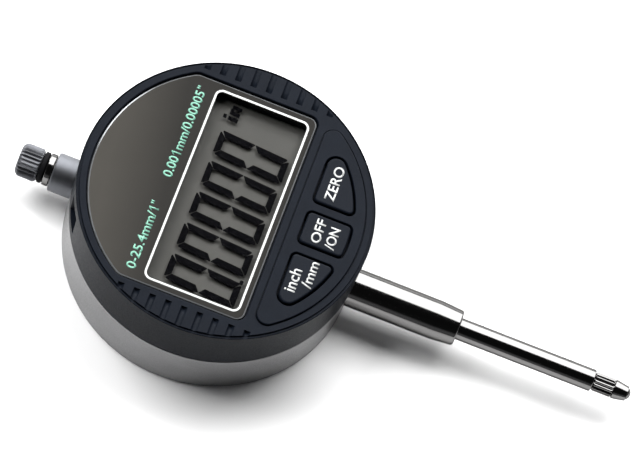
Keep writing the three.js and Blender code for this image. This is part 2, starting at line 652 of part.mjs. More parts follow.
function caseGroup() {
  const group = new THREE.Group();
  group.add(piece("case_ring", caseRing(), "satinSteel"));
  group.add(piece("back_cover", backCover(), "satinSteel"));
  fourCorners(BACK_SCREW_PLACE, BACK_SCREW_PLACE).forEach(([x, y], i) => {
    group.add(piece(`back_screw_${i + 1}`, backScrew(x, y), "screw"));
  });
  group.add(piece("stem", stem(), "polishedSteel"));
  group.add(piece("lower_bush", bush([-51.8, -44.8]), "bronze"));
  group.add(piece("middle_bush", bush([-31, -24.2]), "bronze"));
  group.add(piece("collar", collar(), "satinSteel"));
  group.add(piece("upper_bush", bush([26, COLLAR_TOP - FIT_GAP]), "bronze"));
  group.add(piece("guide_rail", guideRail(), "screw"));
  group.add(piece("sensor_board", sensorBoard(), "circuitBoard"));
  group.add(piece("sensor_chip", block([8, 12.5], [-4, 4], [10.2, 11.3]), "chip"));
  [-MECHANISM_SCREW_Y, MECHANISM_SCREW_Y].forEach((y, i) => {
    group.add(piece(`rail_screw_${i + 1}`, screwFromBelow(RAIL_SCREW_X, y, MECHANISM_SCREW), "screw"));
    group.add(piece(`sensor_screw_${i + 1}`, screwFromBelow(SENSOR_SCREW_X, y, MECHANISM_SCREW), "screw"));
  });
  group.add(piece("return_spring", returnSpring(), "polishedSteel"));
  group.add(piece("slide_washer", slideWasher(), "rubber"));
  return group;
}

function spindleGroup() {
  const group = new THREE.Group();
  group.add(piece("spindle", spindle(), "polishedSteel"));
  group.add(piece("contact_point", contactPoint(), "polishedSteel"));
  group.add(piece("contact_ball", ball(BALL_RADIUS), "polishedSteel"));
  group.add(piece("stop_ring", stopRing(), "polishedSteel"));
  group.add(piece("bumper_ring", bumperRing(), "rubber"));
  group.add(piece("lifting_cap", liftingCap(), "satinSteel"));
  group.add(piece("slider_block", sliderBlock(), "whitePlastic"));
  group.add(piece("slider_screw", sliderScrew(), "screw"));
  const pickup = centredBlock(0, PIN_Y, 11, 11, [SLIDER_Z[1] + FIT_GAP, 11.1]);
  group.add(piece("pickup_plate", pickup, "circuitBoard"));
  group.add(piece("guide_pin", rodAcross(PIN_RADIUS, PIN_X), "screw"));
  return group;
}

function headGroup() {
  const group = new THREE.Group();
  group.add(piece("front_cover", frontCover(), "blackPlastic"));
  const lensHeights = [LENS_SEAT + REST_GAP, LENS_SEAT + REST_GAP + LENS_THICKNESS];
  group.add(piece("lens", slab(lensOutline(LENS_GAP), ...lensHeights), "smokedLens"));
  group.add(piece("lcd_glass", lcdGlass(), "liquidCrystal"));
  group.add(piece("lcd_frame", lcdFrame(), "darkPlastic"));
  group.add(piece("zebra_strip_upper", zebraStrip(1), "rubber"));
  group.add(piece("zebra_strip_lower", zebraStrip(-1), "rubber"));
  group.add(piece("display_board", displayBoard(), "circuitBoard"));
  group.add(piece("display_chip", block([-14, -6], [-4, 4], [18.2, 19.3]), "chip"));
  fourCorners(HEAD_SCREW_X, HEAD_SCREW_Y).forEach(([x, y], i) => {
    group.add(piece(`cover_screw_${i + 1}`, screwFromBelow(x, y, COVER_SCREW), "screw"));
  });
  for (const place of BUTTONS) {
    group.add(piece(`switch_${place.name}`, tactileSwitch(place), "darkPlastic"));
    group.add(piece(`button_${place.name}`, button(place), "blackPlastic"));
  }
  group.add(piece("battery_holder", batteryHolder(), "whitePlastic"));
  group.add(piece("cell_contact_upper", block([7, 19], [-2.5, 2.5], UPPER_CONTACT_Z), "bronze"));
  group.add(piece("cell_contact_lower", block([8, 18], [-3, 3], LOWER_CONTACT_Z), "bronze"));
  group.add(piece("battery_drawer", batteryDrawer(), "blackPlastic"));
  const cell = disc(CELL.radius, [CELL.bottom, CELL.top], BODY_SIDES, CELL.x, 0);
  group.add(piece("coin_cell", cell, "polishedSteel"));
  group.add(piece("data_port", dataPort(), "darkPlastic"));
  const cable = disc(0.9, [SENSOR_Z[1] + REST_GAP, BOARD_Z[0] - REST_GAP], SMALL_SIDES);
  group.add(piece("sensor_cable", cable, "rubber"));
  return group;
}

const indicator = new THREE.Group();
indicator.add(caseGroup(), spindleGroup(), headGroup());

export default indicator;
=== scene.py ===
"""Looks of an electronic dial indicator that lies on its back on a pale floor.

Lengths are written in millimetres and become metres when a mesh is made. The frame is the CAD's:
+Z out of the display, +Y towards the lifting cap, the origin on the dial's axis at the back cover.
"""
import json
import math

import bmesh
import bpy
from mathutils import Matrix, Vector


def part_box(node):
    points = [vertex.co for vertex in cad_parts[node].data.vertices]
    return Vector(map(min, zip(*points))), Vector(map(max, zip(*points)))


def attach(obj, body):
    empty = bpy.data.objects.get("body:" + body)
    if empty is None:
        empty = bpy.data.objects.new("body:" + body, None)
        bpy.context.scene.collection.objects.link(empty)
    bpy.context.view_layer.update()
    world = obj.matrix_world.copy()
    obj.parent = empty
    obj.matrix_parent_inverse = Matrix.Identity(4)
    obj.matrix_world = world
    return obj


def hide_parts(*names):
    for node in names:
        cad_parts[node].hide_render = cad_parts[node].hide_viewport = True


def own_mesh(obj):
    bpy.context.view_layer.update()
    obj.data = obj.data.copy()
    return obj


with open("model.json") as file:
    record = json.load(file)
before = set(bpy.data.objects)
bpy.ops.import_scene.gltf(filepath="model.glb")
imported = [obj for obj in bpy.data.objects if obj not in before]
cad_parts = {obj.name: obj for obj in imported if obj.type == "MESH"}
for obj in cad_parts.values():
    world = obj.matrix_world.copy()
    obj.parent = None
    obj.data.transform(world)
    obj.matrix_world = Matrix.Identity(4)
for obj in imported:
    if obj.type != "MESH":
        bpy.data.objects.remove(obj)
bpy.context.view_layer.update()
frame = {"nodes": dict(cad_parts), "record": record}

MM = 0.001
RECORD = frame["record"]


def box_mm(node):
    """A CAD node's lowest and highest corners, in millimetres."""
    low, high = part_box(node)
    return low / MM, high / MM


# ---- Sizes that come from the CAD nodes ----

CASE_LOW, CASE_HIGH = box_mm("case_ring")
BODY_RADIUS = CASE_HIGH.x
WASHER_LOW, WASHER_HIGH = box_mm("slide_washer")
HEAD_BOTTOM, PANEL_TOP = (corner.z for corner in box_mm("front_cover"))
BACK_HIGH = box_mm("back_cover")[1]
STEM_END = box_mm("stem")[0].y
COLLAR_END = box_mm("collar")[1].y
SPINDLE_LOW, SPINDLE_HIGH = box_mm("spindle")
SPINDLE_Z = (SPINDLE_LOW.z + SPINDLE_HIGH.z) / 2
SPINDLE_RADIUS = (SPINDLE_HIGH.z - SPINDLE_LOW.z) / 2
CAP_LOW, CAP_HIGH = box_mm("lifting_cap")
LENS_LOW, LENS_HIGH = box_mm("lens")
LCD_LOW, LCD_HIGH = box_mm("lcd_glass")
BUTTON_TOP = box_mm("button_off_on")[1].z
DRAWER_LOW, DRAWER_HIGH = box_mm("battery_drawer")
CELL_LOW, CELL_HIGH = box_mm("coin_cell")

# ---- Sizes that the boxes don't give ----

# The case, from outside to inside: the neck that the head's lip closes on, the rim that holds it, the deck
# above the spindle and the seat of the back cover.
CASE_TOP = WASHER_LOW.z - 0.05
CASE = {"neck": 26.2, "rim": 27.0, "rim_foot": 14.1, "rim_bore": 24.9, "deck_top": 13.8, "deck_foot": 12.6,
        "cable_hole": 3.0, "bore": 25.8, "seat": 27.4, "seat_height": 1.6, "foot_edge": 0.35,
        "top_edge": 0.2, "seat_edge": 0.15}
BACK_EDGE = 0.3
WASHER_WIDTH = 2.4
SCREW = {"place": 15.9, "head": 1.85, "shank": 0.95, "cone_top": 0.95, "length": 7.4, "sunk": 0.05,
         "gap": 0.1, "head_edge": 0.08, "end_edge": 0.2, "first_turn": 20, "next_turn": 37}
# The two ends of a cross recess's blade: half length, half width and height.
CROSS_RECESS = [(1.15, 0.24, -0.5), (0.45, 0.14, 0.7)]

# The stem and the collar, which are tubes with a flange inside the case wall.
TUBE = {"bore": 3.1, "radius": 4.0, "flange": 4.4, "foot": 24.0, "step": 25.3, "hole": 4.06,
        "inner_edge": 0.15}
STEM_NOSE = {"radius": 3.65, "edge": 0.42, "length": 4.5, "shoulder": 3.0}
COLLAR_EDGE = 0.4
SPRING = {"radius": 2.85, "wire": 0.25, "turns": 9, "start": -10.35, "end": 23.65,
          "steps_per_turn": 28, "sides": 8}

# The spindle's stub carries the stop ring, the bumper ring and the cap.
ROD_EDGE = 0.2
STUB = {"radius": 1.5, "foot": 34.1, "ring_bore": 1.6}
STOP_RING = {"radius": 3.3, "edge": 0.22}
BUMPER_RING = {"radius": 3.22, "edge": 0.45}

# Profiles of the contact point and the cap near one level, as (radius, height above it, groove depth).
POINT_GAP = 0.03
SHOULDER = [(1.45, 0.0, 0.0), (1.62, -0.02, 0.0), (1.80, -0.20, 0.22), (1.95, -0.40, 0.36)]
BARREL_END = -85.0
BARREL_FOOT = [(1.95, 0.35, 0.36), (1.90, 0.12, 0.30), (1.72, -0.02, 0.0), (1.70, -0.10, 0.0),
               (1.93, -0.16, 0.0), (1.97, -0.28, 0.0)]
CONE_END = -87.95
CONE_FOOT = [(1.52, 0.05, 0.0), (1.42, 0.0, 0.0)]
CAP_FOOT = [(2.60, 0.0, 0.0), (3.05, 0.01, 0.0), (3.22, 0.18, 0.10), (3.45, 0.42, 0.30)]
CAP_CROWN = [(3.45, -0.95, 0.30), (3.30, -0.62, 0.22), (3.00, -0.25, 0.06), (2.80, -0.08, 0.0),
             (2.55, 0.0, 0.0)]
FLUTING = {"teeth": 13, "steps": 12, "sharpness": 1.6}
KNURLING = {"teeth": 26, "steps": 8, "sharpness": 1.0}

# The head, whose lip snaps under the case's rim, and its face.
PANEL_RISE = 0.4
FACE = PANEL_TOP - PANEL_RISE
FACE_UNDERSIDE = 23.0
HEAD = {"bore": 27.3, "lip_bore": 26.5, "lip_top": 13.8, "bottom_edge": 0.2, "bevel": 0.30, "bevel_edge": 0.1}
RIM_GROOVE = {"outer": 0.18, "width": 0.46, "depth": 0.45, "flank": 0.03, "outer_drop": 0.08,
              "outer_edge": 0.05, "inner_edge": 0.06}
GRIP = {"count": 9, "pitch": 3.22, "width": 1.3, "inner": 24.6, "rim_depth": 0.2, "steps": 10}
# A flute's depth at some distances from its inner end, before it runs out over the rim.
GRIP_SCOOP = [(0.05, 0.05), (0.12, 0.56), (0.35, 0.7), (0.9, 0.42), (1.6, 0.28)]
PANEL = {"top": -13.2, "radius": 27.35, "corner": 1.9, "tip": 2.1}
PANEL_GROOVE = {"width": 0.22, "depth": 0.3}
DISPLAY_Y = (LCD_LOW.y + LCD_HIGH.y) / 2
WINDOW = {"half_width": 21.4, "half_height": 9.5, "corner": 1.2}
WINDOW_LINE = {"half_width": 21.65, "half_height": 9.66, "corner": 1.4, "width": 0.42, "depth": 0.02}
WINDOW_GAP = 0.1
PANE = {"gap": 0.11, "thickness": 0.25}
LENS = {"half_width": 23.45, "bottom": -11.55, "radius": 27.4, "corner": 2.0, "shoulder": 3.0}
LENS_GAP = 0.25
LENS_EDGE = 0.32
LENS_SEAT_GAP = 0.05
LENS_MOUTH = 0.22
BUTTON_BAND = {"top": -15.42, "radius": 25.3, "corner": 1.3, "tip": 2.3}
BUTTON_GAP = 0.4
BUTTON_MOUTH = 0.16
BUTTON_FLANGE = {"width": 1.0, "thickness": 0.7}
BUTTON_SPANS = {
    "inch_mm": {"right": -5.5},
    "off_on": {"left": -3.7, "right": 4.0},
    "zero": {"left": 5.65},
}
DRAWER_CUT = {"start": 20, "end": 31, "gap": 0.3, "gap_below": 0.2, "corner": 0.1}
DRAWER_EDGE = 0.2
CELL = {"seat": 10.15, "seat_gap": 0.05, "hole": 8.0, "step": 0.35, "cap": 8.2, "cap_foot": 8.5,
        "cap_edge": 0.15, "step_edge": 0.25, "top_edge": 0.3}
NAIL_GROOVE = {"depth": 0.9, "half_width": 4.5, "low": 1.5, "high": 0.7, "corner": 0.3}
PORT = {"low": (-14.6, 20, 15.6), "high": (-9.6, 31, 22.4), "corner": 0.2}
PORT_PINS = {"count": 5, "pitch": 1.2, "low": (-13.6, 22.42, 16.6), "size": (3.0, 0.88, 0.5), "corner": 0.15}

# Eased edges as (inset, height): the panel's heights count up from the face, the button's down from its top.
PANEL_EDGE = [(-0.02, -0.5), (-0.02, 0.0), (0.0, 0.16), (0.04, 0.30), (0.11, 0.36), (0.22, PANEL_RISE)]
BUTTON_CROWN = [(0.0, 0.40), (0.05, 0.22), (0.15, 0.09), (0.30, 0.03), (0.50, 0.015)]

# The lens's frosted edge as (inset, depth below the lens's top).
LENS_EDGE_CURVE = [(0.0, 0.24), (0.10, 0.08), (LENS_EDGE - 0.01, 0.0)]

# The signs of x and y in the four quarters, in turn.
QUARTERS = ((1, 1), (-1, 1), (-1, -1), (1, -1))

# Numbers of sides and steps.
FINE = 192
MEDIUM = 96
SMALL = 48
CORNER_STEPS = 8
LENS_CORNER_STEPS = 10
TIP_STEPS = 18
DRAWER_STEPS = 32
BAND_STEPS = 48
LENS_STEPS = 64

# Edges that turn more than this stay crisp.
SHARP_ANGLE = math.radians(32)
# A cutter reaches this far past the surface that it opens.
CLEAR = 1
TEXT_LIFT = 0.012


# ---- Mesh helpers ----

def new_object(name, vertices, faces):
    mesh = bpy.data.meshes.new(name)
    mesh.from_pydata([Vector(v) * MM for v in vertices], [], faces)
    working = bmesh.new()
    working.from_mesh(mesh)
    bmesh.ops.recalc_face_normals(working, faces=working.faces)
    working.to_mesh(mesh)
    working.free()
    obj = bpy.data.objects.new(name, mesh)
    bpy.context.scene.collection.objects.link(obj)
    return obj


def loft(name, rings, closed=False):
    """Joins rings of equal length with quads, and caps the two ends unless the rings close on themselves."""
    count = len(rings[0])
    vertices = [point for ring in rings for point in ring]
    faces = []
    spans = len(rings) if closed else len(rings) - 1
    for row in range(spans):
        base = row * count
        upper = ((row + 1) % len(rings)) * count
        for i in range(count):
            j = (i + 1) % count
            faces.append((base + i, base + j, upper + j, upper + i))
    if not closed:
        faces.append(tuple(range(count)))
        faces.append(tuple(range(len(vertices) - count, len(vertices))))
    return new_object(name, vertices, faces)


def filleted(points, closed=False, steps=5):
    """Rounds each (a, b, radius) corner of a profile; a point without a radius stays sharp."""
    result = []
    for i, point in enumerate(points):
        corner = Vector(point[:2])
        if len(point) < 3 or (not closed and i in (0, len(points) - 1)):
            result.append(tuple(corner))
            continue
        before = (Vector(points[i - 1][:2]) - corner).normalized()
        after = (Vector(points[(i + 1) % len(points)][:2]) - corner).normalized()
        half = before.angle(after) / 2
        centre = corner + (before + after).normalized() * point[2] / math.sin(half)
        reach = point[2] / math.tan(half)
        start = corner + before * reach - centre
        end = corner + after * reach - centre
        first = math.atan2(start.y, start.x)
        turn = (math.atan2(end.y, end.x) - first + math.pi) % (2 * math.pi) - math.pi
        for k in range(steps + 1):
            angle = first + turn * k / steps
            result.append((centre.x + point[2] * math.cos(angle), centre.y + point[2] * math.sin(angle)))
    return result


def circle_about_z(radius, height, sides, x=0.0, y=0.0):
    angles = [2 * math.pi * i / sides for i in range(sides)]
    return [(x + radius * math.cos(a), y + radius * math.sin(a), height) for a in angles]


def circle_about_spindle(radius, along, sides):
    angles = [2 * math.pi * i / sides for i in range(sides)]
    return [(radius * math.cos(a), along, SPINDLE_Z + radius * math.sin(a)) for a in angles]


def turned(name, profile, circle, sides, **place):
    """A turned body; a profile that starts and ends at radius 0 is solid, any other closes on itself."""
    solid = profile[0][0] == 0
    points = filleted(profile, closed=not solid)
    if solid:
        points = points[1:-1]
    rings = [circle(radius, height, sides, **place) for radius, height in points]
    return loft(name, rings, closed=not solid)


def cylinder(radius, start, end):
    """The profile of a plain cylinder."""
    return [(0, start), (radius, start), (radius, end), (0, end)]


def turned_z(name, profile, sides=FINE, **place):
    return turned(name, profile, circle_about_z, sides, **place)


def turned_y(name, profile, sides=MEDIUM):
    return turned(name, profile, circle_about_spindle, sides)


def grooved(name, levels, teeth, steps, sharpness):
    """A turned bar with grooves along it, from levels of (place along Y, profile near it)."""
    sides = teeth * steps
    rows = [(radius, level + above, depth) for level, profile in levels for radius, above, depth in profile]
    rings = []
    for radius, along, depth in rows:
        ring = []
        for i in range(sides):
            phase = (i % steps) / steps
            groove = (1 - abs(2 * phase - 1)) ** sharpness
            angle = 2 * math.pi * i / sides
            here = radius - depth * groove
            ring.append((here * math.cos(angle), along, SPINDLE_Z + here * math.sin(angle)))
        rings.append(ring)
    return loft(name, rings)


def arc(x, y, radius, start, end, steps):
    angles = [start + (end - start) * i / steps for i in range(steps + 1)]
    return [(x + radius * math.cos(a), y + radius * math.sin(a)) for a in angles]


def rounded_rectangle(half_width, half_height, corner, centre_x, centre_y, steps=CORNER_STEPS):
    x, y = half_width - corner, half_height - corner
    quarter = math.pi / 2
    points = []
    for k, (sx, sy) in enumerate(QUARTERS):
        points += arc(centre_x + sx * x, centre_y + sy * y, corner, k * quarter, (k + 1) * quarter, steps)
    return points


def window_outline(inset):
    return rounded_rectangle(
        WINDOW["half_width"] - inset, WINDOW["half_height"] - inset, WINDOW["corner"] - inset, 0, DISPLAY_Y)


def lens_outline(inset):
    half_width = LENS["half_width"] - inset
    bottom = LENS["bottom"] + inset
    radius = LENS["radius"] - inset
    corner = LENS["corner"] - inset
    shoulder = LENS["shoulder"] - inset
    shoulder_x = half_width - shoulder
    shoulder_y = math.sqrt((radius - shoulder) ** 2 - shoulder_x ** 2)
    meet = math.atan2(shoulder_y, shoulder_x)
    points = arc(shoulder_x, shoulder_y, shoulder, 0, meet, CORNER_STEPS)
    points += arc(0, 0, radius, meet, math.pi - meet, LENS_STEPS)[1:-1]
    points += arc(-shoulder_x, shoulder_y, shoulder, math.pi - meet, math.pi, CORNER_STEPS)
    points += arc(corner - half_width, bottom + corner, corner, math.pi, 1.5 * math.pi, LENS_CORNER_STEPS)
    points += arc(half_width - corner, bottom + corner, corner, 1.5 * math.pi, 2 * math.pi, LENS_CORNER_STEPS)
    return points


def band_outline(inset, top, radius, corner, tip, left=None, right=None):
    """The band between a straight top and an arc about the dial's axis, with rounded corners.

    Each side ends at a vertical edge, or where there is none, in the tip of the band."""
    arc_radius = radius - inset
    top_y = top - inset
    small, large = corner - inset, tip - inset
    tip_y = top_y - large
    tip_x = math.sqrt((arc_radius - large) ** 2 - tip_y ** 2)
    turn = 2 * math.pi

    def lower_y(x):
        return -math.sqrt((arc_radius - small) ** 2 - x ** 2)

    def angle_of(x, y):
        return math.atan2(y, x) + turn

    if left is None:
        left_angle = angle_of(-tip_x, tip_y)
        points = arc(-tip_x, tip_y, large, turn / 4, left_angle, TIP_STEPS)
    else:
        left_x = left + inset + small
        left_angle = angle_of(left_x, lower_y(left_x))
        points = arc(left_x, top_y - small, small, turn / 4, turn / 2, CORNER_STEPS)
        points += arc(left_x, lower_y(left_x), small, turn / 2, left_angle, CORNER_STEPS)
    if right is None:
        right_angle = angle_of(tip_x, tip_y)
        ending = arc(tip_x, tip_y, large, right_angle, 1.25 * turn, TIP_STEPS)
    else:
        right_x = right - inset - small
        right_angle = angle_of(right_x, lower_y(right_x))
        ending = arc(right_x, lower_y(right_x), small, right_angle, turn, CORNER_STEPS)
        ending += arc(right_x, top_y - small, small, 0, turn / 4, CORNER_STEPS)
    return points + arc(0, 0, arc_radius, left_angle, right_angle, BAND_STEPS)[1:-1] + ending


def plate(name, outline, profile, closed=False):
    """Stacks an outline along Z; the profile is a list of (inset, height), and a closed one makes a frame."""
    rings = [[(x, y, height) for x, y in outline(inset)] for inset, height in profile]
    return loft(name, rings, closed)


def mouth_edge(bottom, top, fillet, steps=4):
    """The profile of a cutter that leaves a rounded edge round the mouth of its hole."""
    rows = [(0, bottom)]
    for k in range(steps + 1):
        angle = math.pi / 2 * k / steps
        rows.append((-fillet * (1 - math.cos(angle)), top - fillet + fillet * math.sin(angle)))
    rows.append((-fillet, top + CLEAR))
    return rows


def rounded_box(name, low, high, radius, steps=4):
    """A box with rounded vertical edges and a small rounding above and below."""
    centre_x, centre_y = (low[0] + high[0]) / 2, (low[1] + high[1]) / 2
    half_x, half_y = (high[0] - low[0]) / 2, (high[1] - low[1]) / 2
    edge = radius / 2

    def outline(inset):
        return rounded_rectangle(
            half_x - inset, half_y - inset, radius - inset / 2, centre_x, centre_y, steps)

    return plate(name, outline, [(edge, low[2]), (0, low[2] + edge), (0, high[2] - edge), (edge, high[2])])


def boolean(target, cutters, operation="DIFFERENCE"):
    """Cuts or adds each cutter in turn, then removes the cutters."""
    for cutter in cutters:
        modifier = target.modifiers.new("shape", "BOOLEAN")
        modifier.operation = operation
        modifier.solver = "EXACT"
        modifier.object = cutter
    depsgraph = bpy.context.evaluated_depsgraph_get()
    mesh = bpy.data.meshes.new_from_object(target.evaluated_get(depsgraph))
    target.modifiers.clear()
    target.data = mesh
    for cutter in cutters:
        bpy.data.objects.remove(cutter)
    return target


def finish_piece(obj, body, slot, replaced=(), material=None):
    """Smooth shading with crisp edges, then the piece's material and body, and the CAD nodes that it replaces
    are hidden.

    The material is the slot's own, unless another is given."""
    mesh = obj.data
    mesh.materials.clear()
    mesh.materials.append(material or MATERIALS[slot])
    mesh.polygons.foreach_set("use_smooth", [True] * len(mesh.polygons))
    mesh.polygons.foreach_set("material_index", [0] * len(mesh.polygons))
    mesh.set_sharp_from_angle(angle=SHARP_ANGLE)
    normals = obj.modifiers.new("normals", "WEIGHTED_NORMAL")
    normals.keep_sharp = True
    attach(obj, body)
    if replaced:
        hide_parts(*replaced)
    return obj


# ---- Materials ----

# Most of a noise texture's values lie between these two.
NOISE_LOW, NOISE_HIGH = 0.3, 0.7


def surface(name, colour, roughness, metallic=0.0, variation=0.1, spread=0.05, patch=6.0, grain=0.3,
            relief=0.01, stretch=(1, 1, 1), fade=None, specular=0.5, edge_tint=(1, 1, 1, 1)):
    """A Principled surface whose colour, gloss and relief vary with noise fixed to the object.

    patch and grain are sizes in millimetres, and relief is the height of the grain in millimetres.
    fade is (direction, start, end, first, last): the colour is multiplied by a value that goes from
    first to last between two places along a direction, which paints light and shade across the surface."""
    material = bpy.data.materials.new(name)
    material.use_nodes = True
    nodes, links = material.node_tree.nodes, material.node_tree.links
    shader = nodes["Principled BSDF"]
    place = nodes.new("ShaderNodeTexCoord")
    mapping = nodes.new("ShaderNodeMapping")
    mapping.inputs["Scale"].default_value = stretch
    links.new(place.outputs["Object"], mapping.inputs["Vector"])

    def noise(size, detail):
        node = nodes.new("ShaderNodeTexNoise")
        node.inputs["Scale"].default_value = 1 / (size * MM)
        node.inputs["Detail"].default_value = detail
        links.new(mapping.outputs["Vector"], node.inputs["Vector"])
        return node.outputs["Fac"]

    patches = noise(patch, detail=3)
    grains = noise(grain, detail=4)
    blend = nodes.new("ShaderNodeMixRGB")
    blend.inputs["Color1"].default_value = (*[c * (1 - variation) for c in colour], 1)
    blend.inputs["Color2"].default_value = (*[c * (1 + variation) for c in colour], 1)
    links.new(patches, blend.inputs["Fac"])
    tint = blend.outputs["Color"]
    if fade:
        direction, start, end, first, last = fade
        along = nodes.new("ShaderNodeVectorMath")
        along.operation = "DOT_PRODUCT"
        along.inputs[1].default_value = direction
        links.new(place.outputs["Object"], along.inputs[0])
        strength = nodes.new("ShaderNodeMapRange")
        strength.inputs["From Min"].default_value = start * MM
        strength.inputs["From Max"].default_value = end * MM
        strength.inputs["To Min"].default_value = first
        strength.inputs["To Max"].default_value = last
        links.new(along.outputs["Value"], strength.inputs["Value"])
        scaled = nodes.new("ShaderNodeVectorMath")
        scaled.operation = "SCALE"
        links.new(tint, scaled.inputs[0])
        links.new(strength.outputs["Result"], scaled.inputs["Scale"])
        tint = scaled.outputs["Vector"]
    links.new(tint, shader.inputs["Base Color"])
    gloss = nodes.new("ShaderNodeMapRange")
    gloss.inputs["From Min"].default_value = NOISE_LOW
    gloss.inputs["From Max"].default_value = NOISE_HIGH
    gloss.inputs["To Min"].default_value = max(0.0, roughness - spread)
    gloss.inputs["To Max"].default_value = roughness + spread
    links.new(grains, gloss.inputs["Value"])
    links.new(gloss.outputs["Result"], shader.inputs["Roughness"])
    bump = nodes.new("ShaderNodeBump")
    bump.inputs["Strength"].default_value = 1.0
    bump.inputs["Distance"].default_value = relief * MM
    links.new(grains, bump.inputs["Height"])
    links.new(bump.outputs["Normal"], shader.inputs["Normal"])
    shader.inputs["Metallic"].default_value = metallic
    shader.inputs["Specular IOR Level"].default_value = specular
    shader.inputs["Specular Tint"].default_value = edge_tint
    return material


# The noise of a bar turned about Y: drawn out round the bar and tight along it.
ALONG_Y_TURNING = (0.15, 6.0, 0.15)

MATERIALS = {
    "black_plastic": surface(
        "black_plastic", (0.0038, 0.0051, 0.0080), 0.42, variation=0.25, spread=0.06, patch=3.0, grain=0.35,
        relief=0.012, specular=0.045),
    "button_plastic": surface(
        "button_plastic", (0.0038, 0.0051, 0.0080), 0.38, variation=0.2, spread=0.05, patch=2.0, grain=0.30,
        relief=0.010, specular=0.05),
    "slide_plastic": surface("slide_plastic", (0.006, 0.006, 0.007), 0.5, relief=0.004, specular=0.2),
    "white_plastic": surface("white_plastic", (0.42, 0.41, 0.385), 0.45, variation=0.04, relief=0.004),
    "black_rubber": surface(
        "black_rubber", (0.004, 0.004, 0.0045), 0.6, grain=0.2, relief=0.008, specular=0.05),
    "silver_case": surface(
        "silver_case", (0.215, 0.215, 0.219), 0.36, metallic=1.0, variation=0.10, spread=0.09, patch=4.0,
        grain=0.32, relief=0.022, stretch=(1, 1, 1.6)),
    "screw_steel": surface(
        "screw_steel", (0.22, 0.22, 0.225), 0.28, metallic=1.0, variation=0.06, relief=0.002),
    # Its dark edge tint dims the reflection at grazing angles, which paints a dark contour along the sides of
    # the stem and spindle.
    "polished_steel": surface(
        "polished_steel", (0.165, 0.163, 0.161), 0.12, metallic=1.0, variation=0.05, spread=0.03, patch=3.0,
        grain=0.25, relief=0.0004, stretch=ALONG_Y_TURNING, edge_tint=(0.3, 0.3, 0.3, 1)),
    "satin_steel": surface(
        "satin_steel", (0.135, 0.14, 0.152), 0.52, metallic=1.0, variation=0.05, spread=0.06, grain=0.25,
        relief=0.0025, stretch=ALONG_Y_TURNING),
    "knurled_steel": surface(
        "knurled_steel", (0.115, 0.118, 0.128), 0.52, metallic=1.0, variation=0.12, spread=0.08, patch=0.8,
        grain=0.2, relief=0.004),
    "bronze": surface("bronze", (0.16, 0.115, 0.065), 0.35, metallic=1.0, relief=0.002),
    "spring_steel": surface("spring_steel", (0.2, 0.2, 0.205), 0.25, metallic=1.0, relief=0.001),
    "circuit_board": surface(
        "circuit_board", (0.007, 0.053, 0.023), 0.35, variation=0.3, patch=1.5, relief=0.004),
    "chip_plastic": surface("chip_plastic", (0.012, 0.012, 0.013), 0.5, relief=0.004),
    "contact_bronze": surface("contact_bronze", (0.35, 0.25, 0.12), 0.22, metallic=1.0, relief=0.001),
    "cell_steel": surface(
        "cell_steel", (0.095, 0.095, 0.098), 0.4, metallic=1.0, variation=0.12, spread=0.08, patch=4.0,
        grain=0.2, relief=0.003),
    # The lens is painted lighter towards the cap end and a little towards -X: a painted sheen in place of the
    # reflection across it.
    "smoked_lens": surface(
        "smoked_lens", (0.0170, 0.0157, 0.0134), 0.12, variation=0.08, spread=0.02, patch=9.0, grain=2.0,
        relief=0.0003, fade=((-0.15, 1, 0), 12, 24, 0.62, 1.95), specular=0.06),
    "liquid_crystal": surface(
        "liquid_crystal", (0.068, 0.0675, 0.0645), 0.35, variation=0.07, spread=0.05, patch=5.0, grain=0.15,
        relief=0.002, specular=0.04),
}
PRINT_WHITE = surface("white_print", (0.46, 0.47, 0.46), 0.45, variation=0.03, relief=0.001)
PRINT_MINT = surface("mint_print", (0.14, 0.34, 0.255), 0.45, variation=0.06, relief=0.001)
LCD_INK = surface(
    "display_ink", (0.0014, 0.0014, 0.0019), 0.5, variation=0.2, relief=0.0002, specular=0.012)
# The lens's frosted edge, lighter than the lens, carries a painted highlight: its colour rises to four and a
# half times along the upper right arc.
FROSTED_EDGE_PAINTED_GLINT = surface(
    "frosted_edge_painted_glint", (0.10, 0.104, 0.108), 0.22, variation=0.25, spread=0.06, patch=5.0, grain=0.4,
    relief=0.002, fade=((0.342, 0.94, 0), 25.4, 27.0, 0.75, 4.5))


def clear_acrylic():
    """Clear, with the faint reflection of a coated surface, so that the display shows through it."""
    material = bpy.data.materials.new("clear_acrylic")
    material.use_nodes = True
    nodes, links = material.node_tree.nodes, material.node_tree.links
    gloss = nodes["Principled BSDF"]
    gloss.inputs["Base Color"].default_value = (0.02, 0.02, 0.02, 1)
    gloss.inputs["Roughness"].default_value = 0.07
    gloss.inputs["IOR"].default_value = 1.49
    clear = nodes.new("ShaderNodeBsdfTransparent")
    clear.inputs["Color"].default_value = (0.95, 0.95, 0.945, 1)
    facing = nodes.new("ShaderNodeFresnel")
    facing.inputs["IOR"].default_value = 1.04
    mix = nodes.new("ShaderNodeMixShader")
    links.new(facing.outputs["Fac"], mix.inputs["Fac"])
    links.new(clear.outputs["BSDF"], mix.inputs[1])
    links.new(gloss.outputs["BSDF"], mix.inputs[2])
    links.new(mix.outputs["Shader"], nodes["Material Output"].inputs["Surface"])
    return material


def dress_cad_nodes():
    """Gives every CAD node the procedural material of its slot."""
    for part in RECORD["subparts"]:
        mesh = frame["nodes"][part["node"]].data
        mesh.materials.clear()
        mesh.materials.append(MATERIALS[part["material_slot"]])


# ---- Camera, floor and lights ----

# Angles are in radians; aim is where the dial's axis passes the joint, seen from the camera.
CAMERA = {"tilt": 0.449, "lean": 0.022, "roll": 1.2, "aim": (-20.161, 1.499, -700.0), "sensor": 36,
          "lens": 199.98}
FLOOR = {"size": 3000.0, "height": -0.05}

